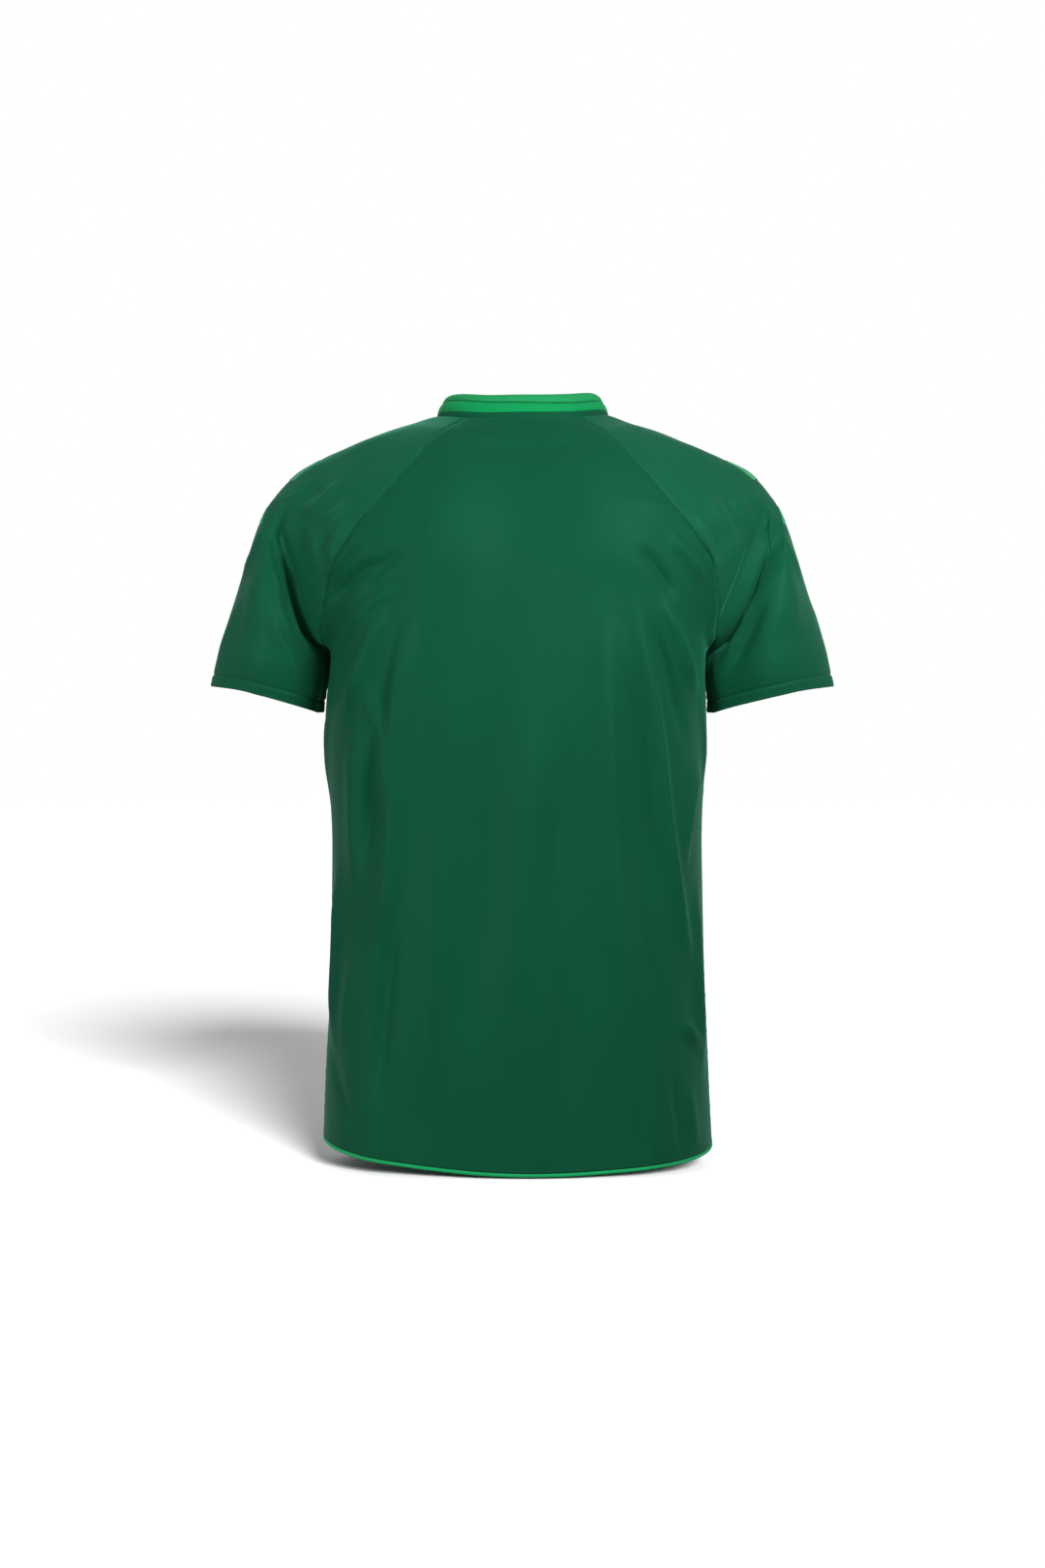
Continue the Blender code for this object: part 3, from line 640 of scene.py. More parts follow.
def joined_normals(panels):
    """Give the two edges of each seam the same outward direction, and ease into it."""
    found = {name: normals(points) for name, points in panels.items()}
    turn = {name: {0: np.zeros_like(n[:, 0]), -1: np.zeros_like(n[:, 0])} for name, n in found.items()}
    for name, edge, other, other_edge, part in JOINS:
        rows = slice(0, YOKE_ROWS + 1) if part == "yoke" else slice(YOKE_ROWS + 1, None)
        shared = unit(found[name][rows, edge] + found[other][rows, other_edge])
        turn[name][edge][rows] = shared - found[name][rows, edge]
        turn[other][other_edge][rows] = shared - found[other][rows, other_edge]
    for name, points in panels.items():
        across = run(points, 1)
        near_start = np.exp(-((across / JOIN_REACH) ** 2))[:, :, None]
        near_end = np.exp(-(((across[:, -1:] - across) / JOIN_REACH) ** 2))[:, :, None]
        eased = found[name] + turn[name][0][:, None] * near_start + turn[name][-1][:, None] * near_end
        found[name] = unit(eased)
    return found


def crease_rise(place, folds, sizes):
    """Add up how far the creases lift the cloth at each place, given across and up."""
    rise = np.zeros(place.shape[:-1])
    shares = np.linspace(0.0, 3.0, CREASE_POINTS)
    for a0, b0, a1, b1, a2, b2, a3, b3, over, under, height in zip(*folds.values()):
        knots = table("knot a b", (0, a0, b0), (1, a1, b1), (2, a2, b2), (3, a3, b3))
        line = read(knots, shares, "a b")
        over, under = over * sizes.fold_width, under * sizes.fold_width
        reach = 3.2 * max(over, under)
        low, high = line.min(axis=0) - reach, line.max(axis=0) + reach
        near = ((place > low) & (place < high)).all(axis=-1)
        if not near.any():
            continue
        spot = place[near]
        best = np.full(len(spot), np.inf)
        side = np.zeros(len(spot))
        at = np.zeros(len(spot))
        for step in range(CREASE_POINTS - 1):
            start, end = line[step], line[step + 1]
            way = end - start
            share = np.clip((spot - start) @ way / (way @ way), 0.0, 1.0)
            off = spot - start - share[:, None] * way
            distance = np.hypot(off[:, 0], off[:, 1])
            closer = distance < best
            best = np.where(closer, distance, best)
            side = np.where(closer, off[:, 0] * -way[1] + off[:, 1] * way[0], side)
            at = np.where(closer, (step + share) / (CREASE_POINTS - 1), at)
        width = np.where(side > 0, over, under)
        taper = smoothstep(0.0, CREASE_TAPER, at) * smoothstep(0.0, CREASE_TAPER, 1 - at)
        rise[near] += height * sizes.fold_depth * np.exp(-((best / width) ** 2)) * taper
    return rise


def draped(points, outward, sizes):
    """Lift the cloth into its creases and small waves, and sink it a little over the shoulders."""
    rise = np.zeros(points.shape[:2])
    for folds, axis, sign in (
        (BACK_CREASES, 1, 1.0),
        (FRONT_CREASES, 1, -1.0),
        (LEFT_CREASES, 0, 1.0),
        (RIGHT_CREASES, 0, -1.0),
    ):
        facing = smoothstep(VIEW_LOW, VIEW_HIGH, outward[..., axis] * sign)
        place = points[..., [1 - axis, 2]]
        rise += crease_rise(place, folds, sizes) * facing
    for across, deep, up, start, height in zip(*WAVES.values()):
        rise += height * np.sin(points @ np.array([across, deep, up]) + start)
    armpit = np.array(ARMPIT_POINT)
    away = np.linalg.norm(np.abs(points) * [1, 1, -1] - armpit, axis=-1)
    sunk = between_steps(SHOULDER_CORNER, outward[..., 2]) + smoothstep(*SHOULDER_TOP, outward[..., 2])
    rise -= SHOULDER_SINK * sunk * smoothstep(0.0, NECK_EASE, run(points, 0))
    return rise * smoothstep(*ARMPIT_CALM, away)


def sewn(points, outward, sizes, folded_hem):
    """Sink the cloth at its seams, pucker it there, thicken a folded hem and leave the seam gaps."""
    across = run(points, 1)
    down = run(points, 0)
    to_side = np.minimum(across, across[:, -1:] - across)
    edge = np.minimum(to_side, down)
    dip = sizes.seam_depth * np.exp(-((edge / sizes.seam_width) ** 2))
    phase = points @ np.array(PUCKER_RUN)
    ripple = np.sin(phase) + 0.6 * np.sin(phase * 0.61 + 1.7)
    pucker = sizes.pucker * ripple * np.exp(-((to_side / PUCKER_REACH) ** 2))
    rise = pucker - dip
    if folded_hem:
        up = down[-1:] - down
        inside, outside = sizes.cuff_hem - FOLD_STEP[0], sizes.cuff_hem + FOLD_STEP[1]
        rise += sizes.hem_fold * (1 - smoothstep(inside, outside, up))
        rise -= TRENCH_DEPTH * np.exp(-(((up - sizes.cuff_hem) / TRENCH_WIDTH) ** 2))
        rise -= FOLD_ROUND_DEPTH * np.exp(-((up / FOLD_ROUND_WIDTH) ** 2))
    made = points + outward * rise[:, :, None]
    made[:, 0] += unit(points[:, 1] - points[:, 0]) * sizes.seam_gap / 2
    made[:, -1] += unit(points[:, -2] - points[:, -1]) * sizes.seam_gap / 2
    made[0] += unit(points[1] - points[0]) * sizes.seam_gap / 2
    return made


def flat_places(points):
    """Lay the cloth flat: how far each point is from the middle column, and down it."""
    across = run(points, 1)
    middle = points.shape[1] // 2
    down = run(points[:, middle : middle + 1], 0)
    return np.stack([across - across[:, middle : middle + 1], -down + np.zeros_like(across)], axis=-1)


def eased(points):
    """Round off the corner that the armpit puts in the rows to either side of it."""
    reach = np.arange(-EASE_ROWS, EASE_ROWS + 1)
    weights = np.exp(-((2.2 * reach / EASE_ROWS) ** 2))
    weights /= weights.sum()
    rows = np.arange(len(points))
    last = len(points) - 1
    soft = sum(weight * points[np.clip(rows + step, 0, last)] for weight, step in zip(weights, reach))
    near = 1 - smoothstep(EASE_ROWS, 2.4 * EASE_ROWS, np.abs(rows - YOKE_ROWS))
    across = run(points, 1)
    inside = smoothstep(0.0, EASE_REACH, np.minimum(across, across[:, -1:] - across))
    return points + (soft - points) * (near[:, None] * inside)[:, :, None]


FORM = {}


def form(sizes):
    """Work out every cloth panel, once for each set of sizes, for all the operators."""
    wanted = [getattr(sizes, name) for name in JerseySizes.__annotations__]
    if FORM.get("sizes") == wanted:
        return FORM
    FORM["sizes"] = wanted
    yoke = crowded(YOKE_ROWS, 2.4, 0.0) * ARMPIT
    torso = ARMPIT + crowded(TORSO_ROWS, 0.0, 1.6)[1:] * (HEM - ARMPIT)
    tube = ARMPIT + crowded(TUBE_ROWS, 0.0, 1.2, 0.12)[1:] * (CUFF - ARMPIT)
    body_stations = np.concatenate([yoke, torso])
    sleeve_stations = np.concatenate([yoke, tube])
    body_along = crowded(BODY_COLUMNS, 2.6, 2.6)
    sleeve_along = crowded(SLEEVE_COLUMNS, 2.6, 2.6)
    sleeve = eased(sleeve_panel(sleeve_stations, sleeve_along))
    from_seam = np.minimum(sleeve_along, 1 - sleeve_along)[None, :]
    lift = CUFF_LIFT * between_steps(LIFTED, from_seam)
    sleeve[..., 2] += lift * smoothstep(ARMPIT, CUFF, sleeve_stations)[:, None]
    panels = {
        "back": hang(eased(body_panel(1, body_stations, body_along))),
        "front": hang(eased(body_panel(-1, body_stations, body_along))),
        "sleeve_left": hang(sleeve),
        "sleeve_right": hang(sleeve[:, ::-1] * np.array([-1.0, 1.0, 1.0])),
    }
    outward = joined_normals(panels)
    for name, points in panels.items():
        panels[name] = points + outward[name] * draped(points, outward[name], sizes)[:, :, None]
    outward = joined_normals(panels)
    FORM["stations"] = sleeve_stations
    FORM["along"] = sleeve_along
    for name, points in panels.items():
        FORM[name] = sewn(points, outward[name], sizes, name.startswith("sleeve"))
        FORM[name + "_outward"] = outward[name]
        FORM[name + "_plain"] = points
        FORM[name + "_flat"] = flat_places(points)
    return FORM


# ---------------------------------------------------------------- meshes
def new_piece(name, vertices, faces):
    """Make a smooth piece from its points and faces, and put it in the scene."""
    mesh = bpy.data.meshes.new(name)
    mesh.from_pydata(vertices.tolist(), [], faces)
    mesh.validate()
    mesh.shade_smooth()
    piece = bpy.data.objects.new(name, mesh)
    bpy.context.scene.collection.objects.link(piece)
    return piece


def grid_object(name, points, flat, closed=False):
    """Make a smooth piece on a grid of points, closed both ways or open, with its flat places as UVs."""
    rows, columns = points.shape[:2]
    open_edge = 0 if closed else 1
    r, c = np.meshgrid(np.arange(rows - open_edge), np.arange(columns - open_edge), indexing="ij")
    below = (r + 1) % rows
    beside = (c + 1) % columns
    corners = [r * columns + c, r * columns + beside, below * columns + beside, below * columns + c]
    piece = new_piece(name, points.reshape(-1, 3), np.stack(corners, -1).reshape(-1, 4).tolist())
    wide = flat.shape[1]
    places = [r * wide + c, r * wide + c + 1, (r + 1) * wide + c + 1, (r + 1) * wide + c]
    layer = piece.data.uv_layers.new(name="cloth")
    layer.data.foreach_set("uv", flat.reshape(-1, 2)[np.stack(places, -1).reshape(-1)].ravel())
    return piece


def only(piece):
    """Select one piece and nothing else."""
    bpy.ops.object.select_all(action="DESELECT")
    piece.select_set(True)
    bpy.context.view_layer.objects.active = piece


def give_wall(piece, wall):
    """Give a cloth surface its thickness on the inner side."""
    only(piece)
    solid = piece.modifiers.new("wall", "SOLIDIFY")
    solid.thickness = wall
    solid.offset = -1.0
    bpy.ops.object.modifier_apply(modifier="wall")


def finish_piece(piece, material, nodes=()):
    """Give a piece its finish, hang it on the root, and hide the parts of the model that it stands for."""
    piece.data.materials.clear()
    piece.data.materials.append(material)
    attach(piece, "root")
    if nodes:
        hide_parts(*nodes)
    return piece


def closed_loop(points, count, smooth):
    """Space a closed loop evenly, and smooth it over a few steps."""
    ring = np.concatenate([points, points[:1]])
    steps = np.concatenate([[0.0], np.cumsum(np.linalg.norm(np.diff(ring, axis=0), axis=1))])
    at = np.linspace(0.0, steps[-1], count, endpoint=False)
    even = np.stack([np.interp(at, steps, ring[:, axis]) for axis in range(3)], axis=1)
    reach = np.arange(-4 * smooth, 4 * smooth + 1)
    weights = np.exp(-((reach / smooth) ** 2))
    weights /= weights.sum()
    return sum(weight * np.roll(even, shift, axis=0) for weight, shift in zip(weights, reach))


def neck_loop(made):
    """Follow the neck seam round, from the wearer's right of the back."""
    pieces = [made[name + "_plain"][0, :-1] for name in ("back", "sleeve_left", "front", "sleeve_right")]
    return closed_loop(np.concatenate(pieces), NECK_POINTS, 5)


def collar_frame(loop):
    """Find how the band stands on each point of the neck: inward, upward, and its run up and in."""
    along = unit(np.roll(loop, -1, axis=0) - np.roll(loop, 1, axis=0))
    inward = (loop.mean(axis=0) - loop) * np.array([1.0, 1.0, 0.0])
    inward = unit(inward - along * np.sum(inward * along, axis=1, keepdims=True))
    upward = unit(np.cross(along, inward))
    upward *= np.sign(upward[:, 2:3])
    upward = unit(upward + COLLAR_AXIS)
    scale = 1.0 - COLLAR_STEEPER * smoothstep(0.0, COLLAR_BACK, loop[:, 1])
    heights = np.linspace(0.0, COLLAR_HEIGHT, COLLAR_STEPS + 1)
    angle = np.radians(read(COLLAR_PROFILE, heights, "slope")) * scale[None, :]
    step = COLLAR_HEIGHT / COLLAR_STEPS
    start = np.zeros((1, len(loop)))
    rise = np.concatenate([start, np.cumsum(np.cos(angle[:-1]) * step, axis=0)])
    inset = np.concatenate([start, np.cumsum(np.sin(angle[:-1]) * step, axis=0)])
    return {"loop": loop, "inward": inward, "upward": upward, "angle": angle, "rise": rise, "inset": inset}


def collar_place(stand, height, out):
    """Find the points of the band at a height up it, moved out of its face."""
    at = np.clip(height / COLLAR_HEIGHT * COLLAR_STEPS, 0.0, COLLAR_STEPS)
    low = np.minimum(at.astype(int), COLLAR_STEPS - 1)
    share = at - low
    column = np.arange(len(stand["loop"]))

    def between(values):
        return (values[low, column] * (1 - share) + values[low + 1, column] * share)[:, None]

    angle = between(stand["angle"])
    face = stand["upward"] * np.sin(angle) - stand["inward"] * np.cos(angle)
    beyond = (height - COLLAR_HEIGHT * np.clip(height / COLLAR_HEIGHT, 0.0, 1.0))[:, None]
    way = stand["upward"] * np.cos(angle) + stand["inward"] * np.sin(angle)
    base = stand["loop"] + stand["upward"] * between(stand["rise"])
    base = base + stand["inward"] * between(stand["inset"])
    return base + way * beyond + face * out


def band_section(wall, bulge, sides, turns):
    """Go round a rounded strip: share of its height, extra height and how far out, for each point."""
    radius = wall / 2
    section = []
    for share in np.linspace(0.0, 1.0, sides):
        section.append((share, radius * (1 - 2 * share), bulge * np.sin(np.pi * share) ** 0.6))
    for angle in np.linspace(0.5, -0.5, turns + 2)[1:-1] * np.pi:
        section.append((1.0, radius * (np.cos(angle) - 1), radius * (np.sin(angle) - 1)))
    for share in np.linspace(1.0, 0.0, sides):
        section.append((share, radius * (1 - 2 * share), -wall))
    for angle in np.linspace(-0.5, 0.5, turns + 2)[1:-1] * np.pi:
        section.append((0.0, radius * (1 - np.cos(angle)), radius * (np.sin(angle) - 1)))
    return np.array(section)


def sweep(name, place, low, high, section):
    """Run a section round a closed loop: place gives the loop's points at a height and a distance out."""
    rings = np.stack([place(low + (high - low) * share + extra, out) for share, extra, out in section])
    if signed_volume(rings) < 0:
        rings = rings[::-1]
    around = run(np.concatenate([rings[0], rings[0][:1]])[None], 1)[0]
    up = run(np.concatenate([rings, rings[:1]])[:, :1], 0)[:, 0]
    flat = np.stack(np.meshgrid(around, up, indexing="xy"), axis=-1)
    return grid_object(name, rings, flat, closed=True)


def signed_volume(rings):
    """Measure a closed grid's volume, which is negative when its faces point inwards."""
    here = rings
    beside = np.roll(rings, -1, axis=1)
    below = np.roll(rings, -1, axis=0)
    across = np.roll(beside, -1, axis=0)
    first = np.einsum("ijk,ijk->", here, np.cross(beside, across))
    return first + np.einsum("ijk,ijk->", here, np.cross(across, below))


def at_run(points, target):
    """Find the point of each column that lies a distance up from the lower edge."""
    down = run(points, 0)
    up = down[-1:] - down
    found = np.empty((points.shape[1], 3))
    for column in range(points.shape[1]):
        for axis in range(3):
            found[column, axis] = np.interp(target, up[::-1, column], points[::-1, column, axis])
    return found


def one_stitch(sizes):
    """Model one stitch: a short thread, flattened where it is pulled down."""
    bpy.ops.object.select_all(action="DESELECT")
    bpy.ops.mesh.primitive_uv_sphere_add(segments=8, ring_count=5, radius=0.5, location=(0.0, 0.0, 0.0))
    stitch = bpy.context.object
    bpy.ops.object.mode_set(mode="EDIT")
    bpy.ops.mesh.select_all(action="SELECT")
    bpy.ops.transform.resize(value=(sizes.stitch_length, sizes.thread, sizes.thread * 0.8))
    bpy.ops.object.mode_set(mode="OBJECT")
    vertices = np.array([vertex.co[:] for vertex in stitch.data.vertices])
    faces = [tuple(face.vertices) for face in stitch.data.polygons]
    bpy.data.objects.remove(stitch)
    return vertices, faces


def stitch_row(line, outward, sizes):
    """Lay stitches end to end along a line on the cloth."""
    vertices, faces = one_stitch(sizes)
    steps = np.concatenate([[0.0], np.cumsum(np.linalg.norm(np.diff(line, axis=0), axis=1))])
    count = int(steps[-1] / sizes.stitch_pitch)
    at = (np.arange(count) + 0.5) * steps[-1] / count
    half = sizes.stitch_length / 2

    def on_line(values, where):
        return np.stack([np.interp(where, steps, values[:, axis]) for axis in range(3)], axis=1)

    middle = on_line(line, at)
    way = unit(on_line(line, at + half) - on_line(line, at - half))
    out = on_line(outward, at)
    out = unit(out - way * np.sum(out * way, axis=1, keepdims=True))
    beside = np.cross(out, way)
    placed = (
        middle[:, None]
        + out[:, None] * (THREAD_LIFT + vertices[None, :, 2:3])
        + way[:, None] * vertices[None, :, 0:1]
        + beside[:, None] * vertices[None, :, 1:2]
    )
    size = len(vertices)
    starts = range(0, size * count, size)
    all_faces = [tuple(corner + start for corner in face) for start in starts for face in faces]
    return placed.reshape(-1, 3), all_faces


def stitches_object(name, rows):
    """Join several rows of stitches in one mesh."""
    vertices, faces = [], []
    for row_vertices, row_faces in rows:
        start = sum(len(part) for part in vertices)
        vertices.append(row_vertices)
        faces.extend(tuple(corner + start for corner in face) for face in row_faces)
    return new_piece(name, np.concatenate(vertices), faces)


# ---------------------------------------------------------------- materials
class Shader:
    """Build a node material step by step."""

    def __init__(self, name):
        self.material = bpy.data.materials.new(name)
        self.material.use_nodes = True
        self.tree = self.material.node_tree
        self.surface = self.tree.nodes["Principled BSDF"]

    def node(self, kind, settings=(), **inputs):
        """Add a node, and set or link its inputs by name or, as i0, i1, by number."""
        made = self.tree.nodes.new(kind)
        for key, value in dict(settings).items():
            setattr(made, key, value)
        for key, value in inputs.items():
            numbered = key[0] == "i" and key[1:].isdigit()
            self.feed(made.inputs[int(key[1:]) if numbered else key], value)
        return made

    def feed(self, socket, value):
        """Link a socket to another node's output, or set its value."""
        if isinstance(value, bpy.types.NodeSocket):
            self.tree.links.new(value, socket)
        else:
            socket.default_value = value

    def maths(self, operation, *values):
        """Add a Math node."""
        inputs = {f"i{number}": value for number, value in enumerate(values)}
        return self.node("ShaderNodeMath", {"operation": operation}, **inputs).outputs[0]

    def mix(self, share, first, second):
        """Mix two colours."""
        made = self.node("ShaderNodeMix", {"data_type": "RGBA"}, i0=share, i6=first, i7=second)
        return made.outputs[2]

    def noise(self, place, scale, detail=2.0):
        """Add a Noise texture."""
        return self.node("ShaderNodeTexNoise", Vector=place, Scale=scale, Detail=detail).outputs[0]

    def between(self, value, low, high):
        """Stretch 0 to 1 into low to high."""
        return self.node("ShaderNodeMapRange", i0=value, i3=low, i4=high).outputs[0]

    def bump(self, height, strength, distance):
        """Turn a height into a bumped normal."""
        return self.node("ShaderNodeBump", Height=height, Strength=strength, Distance=distance).outputs[0]

    def set(self, **values):
        """Set or link the surface's inputs; an underscore stands for a space."""
        for key, value in values.items():
            self.feed(self.surface.inputs[key.replace("_", " ")], value)


def shade(colour, factor):
    """Make a colour lighter or darker, as a shader wants it."""
    return (*(min(1.0, channel * factor) for channel in colour), 1.0)


def knit_material(name, colour, sizes, roughness, sheen):
    """Satin polyester knit: chains of small loops, a soft sheen, slow changes of colour and painted shade
    darkening the grooves between the loops.
    """
    build = Shader(name)
    uv = build.node("ShaderNodeUVMap", {"uv_map": "cloth"}).outputs[0]
    place = build.node("ShaderNodeTexCoord").outputs["Object"]
    split = build.node("ShaderNodeSeparateXYZ", i0=uv)
    across = build.maths("DIVIDE", split.outputs[0], sizes.wale)
    down = build.maths("DIVIDE", split.outputs[1], sizes.course)
    within = build.maths("ABSOLUTE", build.maths("SUBTRACT", build.maths("FRACT", across), 0.5))
    slant = build.maths("ADD", down, within)
    loop = build.maths("SINE", build.maths("MULTIPLY", slant, TURN))
    groove = build.maths("POWER", build.maths("MULTIPLY", within, 2.0), 5.0)
    height = build.maths("SUBTRACT", build.maths("MULTIPLY", loop, 0.32), groove)
    slow = build.noise(place, 9.0, 3.0)
    streaks = build.node("ShaderNodeMapping", Vector=uv, Scale=(240.0, 14.0, 1.0)).outputs[0]
    yarn = build.noise(streaks, 1.0, 2.0)
    tone_and_groove_shade = build.maths("ADD", build.between(slow, 0.25, 0.75), build.between(yarn, -0.12, 0.12))
    # The loops' height darkens the colour in the grooves between them and lightens it on the loops: painted
    # shade.
    tone_and_groove_shade = build.maths("ADD", tone_and_groove_shade, build.maths("MULTIPLY", height, 0.10))
    base = build.mix(tone_and_groove_shade, shade(colour, 0.88), shade(colour, 1.12))
    rough = build.between(slow, roughness - 0.03, roughness + 0.03)
    normal = build.bump(height, 0.30, 0.00022)
    build.set(
        Base_Color=base,
        Roughness=rough,
        Normal=normal,
        Sheen_Weight=sheen,
        Sheen_Roughness=0.42,
        Sheen_Tint=(0.10, 0.75, 0.45, 1.0),
        Specular_IOR_Level=0.065,
        Specular_Tint=(0.30, 1.0, 0.65, 1.0),
    )
    return build.material


def rib_material(name, colour, sizes, roughness):
    """Rib knit: fine upright ribs with a soft matte face, painted lighter on the ribs and darker in the
    grooves as painted shade.
    """
    build = Shader(name)
    uv = build.node("ShaderNodeUVMap", {"uv_map": "cloth"}).outputs[0]
    place = build.node("ShaderNodeTexCoord").outputs["Object"]
    split = build.node("ShaderNodeSeparateXYZ", i0=uv)
    across = build.maths("DIVIDE", split.outputs[0], sizes.rib)
    within = build.maths("ABSOLUTE", build.maths("SUBTRACT", build.maths("FRACT", across), 0.5))
    rib = build.maths("SUBTRACT", 1.0, build.maths("POWER", build.maths("MULTIPLY", within, 2.0), 3.0))
    courses = build.maths("SINE", build.maths("MULTIPLY", split.outputs[1], TURN / sizes.course))
    height = build.maths("ADD", rib, build.maths("MULTIPLY", courses, 0.12))
    slow = build.noise(place, 22.0, 3.0)
    # The ribs are lighter and the grooves between them darker: painted shade.
    tone_and_groove_shade = build.maths("ADD", build.between(slow, 0.1, 0.6), build.maths("MULTIPLY", rib, 0.4))
    base = build.mix(tone_and_groove_shade, shade(colour, 0.84), shade(colour, 1.06))
    build.set(
        Base_Color=base,
        Roughness=build.between(slow, roughness - 0.04, roughness + 0.04),
        Normal=build.bump(height, 0.4, 0.0002),
        Sheen_Weight=0.18,
        Sheen_Roughness=0.5,
        Sheen_Tint=(0.1, 1.0, 0.45, 1.0),
        Specular_IOR_Level=0.2,
        Specular_Tint=(0.15, 1.0, 0.5, 1.0),
    )
    return build.material


def patch_material(name, colour):
    """Heat-pressed patch: a satin film with a fine grain."""
    build = Shader(name)
    place = build.node("ShaderNodeTexCoord").outputs["Object"]
    grain = build.noise(place, 1400.0, 2.0)
    slow = build.noise(place, 30.0, 2.0)
    base = build.mix(slow, shade(colour, 0.92), shade(colour, 1.08))
    build.set(
        Base_Color=base,
        Roughness=build.between(grain, 0.38, 0.50),
        Normal=build.bump(grain, 0.15, 0.0001),
        Specular_IOR_Level=0.5,
    )
    return build.material


def thread_material(name, colour):
    """Polyester sewing thread: twisted, with a slight shine and painted shade in the grooves of the twist.
    """
    build = Shader(name)
    place = build.node("ShaderNodeTexCoord").outputs["Object"]
    diagonal = {"bands_direction": "DIAGONAL"}
    twist = build.node("ShaderNodeTexWave", diagonal, Vector=place, Scale=900.0).outputs[1]
    # The colour follows the twist that bumps the thread, darker in its grooves and lighter on its crests:
    # painted shade.
    base = build.mix(twist, shade(colour, 0.8), shade(colour, 1.3))
    build.set(
        Base_Color=base,
        Roughness=build.between(twist, 0.42, 0.58),
        Normal=build.bump(twist, 0.3, 0.0001),
        Specular_IOR_Level=0.4,
    )
    return build.material


def floor_material(name, colour):
    """Plain pale matte floor."""
    build = Shader(name)
    place = build.node("ShaderNodeTexCoord").outputs["Object"]
    slow = build.noise(place, 0.8, 2.0)
    build.set(
        Base_Color=build.mix(slow, shade(colour, 0.995), shade(colour, 1.005)),
        Roughness=build.between(slow, 0.86, 0.94),
        Specular_IOR_Level=0.1,
    )
    return build.material


# ---------------------------------------------------------------- operators
def settings(context):
    """Find the sizes and colours that the user has set."""
    return context.scene.jersey_sizes, context.scene.jersey_colours


class JERSEY_OT_body(bpy.types.Operator):
    """Cut and drape the back and the front"""

    bl_idname = "jersey.body"
    bl_label = "Back and Front"

    def execute(self, context):
        sizes, colours = settings(context)
        made = form(sizes)
        material = knit_material("satin knit body", colours.body, sizes, 0.46, 0.20)
        for name, flat, area in (("back", (0.57, 0.74), 0.342), ("front", (0.58, 0.65), 0.329)):
            piece = grid_object(f"cloth_{name}", made[name], made[name + "_flat"])
            give_wall(piece, sizes.wall)
            finish_piece(piece, material, [name])
        return {"FINISHED"}


class JERSEY_OT_sleeves(bpy.types.Operator):
    """Cut and drape the two raglan sleeves with their folded hems"""

    bl_idname = "jersey.sleeves"
    bl_label = "Sleeves"

    def execute(self, context):
        sizes, colours = settings(context)
        made = form(sizes)
        # The sleeve colour is lighter than the body's as painted sheen.
        material = knit_material("satin knit sleeve", colours.sleeve, sizes, 0.44, 0.22)
        for name in ("sleeve_left", "sleeve_right"):
            piece = grid_object(f"cloth_{name}", made[name], made[name + "_flat"])
            give_wall(piece, sizes.wall)
            finish_piece(piece, material, [name])
        return {"FINISHED"}


class JERSEY_OT_collar(bpy.types.Operator):
    """Stand the dark strip and the bright rib band on the neck"""

    bl_idname = "jersey.collar"
    bl_label = "Collar"

    def execute(self, context):
        sizes, colours = settings(context)
        stand = collar_frame(neck_loop(form(sizes)))
        back = smoothstep(0.0, COLLAR_BACK, stand["loop"][:, 1])
        groove = COLLAR_GROOVE + GROOVE_TILT * stand["loop"][:, 0] * back
        base = np.zeros(len(groove))
        section = band_section(sizes.rib_wall, BAND_BULGE, 9, 5)

        def face(height, out):
            return collar_place(stand, height, out)

        def behind(height, out):
            return collar_place(stand, height, out - sizes.rib_wall * SHADE_TAPE_PLACE)

        strip_section = band_section(STRIP_WALL, STRIP_BULGE, 5, 3)
        strip = sweep("collar_strip", face, base - STRIP_DEPTH, base + COLLAR_STRIP, strip_section)
        low = base + COLLAR_STRIP - sizes.seam_lap
        band = sweep("collar_band", face, low, groove - GROOVE_GAP / 2, section)
        edge = sweep("collar_turnover", face, groove + GROOVE_GAP / 2, base + COLLAR_HEIGHT, section)
        # A dark tape behind the gap between band and turnover closes the gap, and its dark colour paints the
        # groove's shade.
        shade_tape_section = band_section(SHADE_TAPE_WALL, 0.0, 4, 2)
        shade_tape = sweep("collar_tape", behind, groove - GROOVE_SHADE_TAPE, groove + GROOVE_SHADE_TAPE, shade_tape_section)
        # Joined to the strip, the tape takes the strip's dark knit: painted shade in the groove.
        bpy.ops.object.select_all(action="DESELECT")
        shade_tape.select_set(True)
        strip.select_set(True)
        context.view_layer.objects.active = strip
        bpy.ops.object.join()
        binding = knit_material("binding", colours.binding, sizes, 0.60, 0.15)
        rib = rib_material("rib band", colours.band, sizes, 0.62)
        turned_rib = rib_material("rib turnover", colours.band_edge, sizes, 0.60)
        finish_piece(strip, binding, ["neck_strip"])
        finish_piece(band, rib, ["collar"])
        finish_piece(edge, turned_rib, ["collar_edge"])
        return {"FINISHED"}


class JERSEY_OT_hem_edging(bpy.types.Operator):
    """Run the bright edging round the hem"""

    bl_idname = "jersey.hem_edging"
    bl_label = "Hem Edging"

    def execute(self, context):
        sizes, colours = settings(context)
        made = form(sizes)
        names = ("back", "front")
        hem = closed_loop(np.concatenate([made[name][-1, :-1] for name in names]), HEM_POINTS, 2)
        above = closed_loop(np.concatenate([made[name][-4, :-1] for name in names]), HEM_POINTS, 2)
        down = unit(hem - above)
        outward = unit(hem * np.array([1.0, PIPING_LEAN, 0.0]))
        outward = unit(outward - down * np.sum(outward * down, axis=1, keepdims=True))

        def place(height, out):
            return hem + down * height[:, None] + outward * out

        low = np.full(len(hem), sizes.seam_gap)
        section = band_section(PIPING_WALL, PIPING_BULGE, 5, 4)
        piece = sweep("hem_piping", place, low, low + HEM_EDGE, section)
        finish_piece(piece, rib_material("piping", colours.piping, sizes, 0.55), ["hem_edging"])
        return {"FINISHED"}


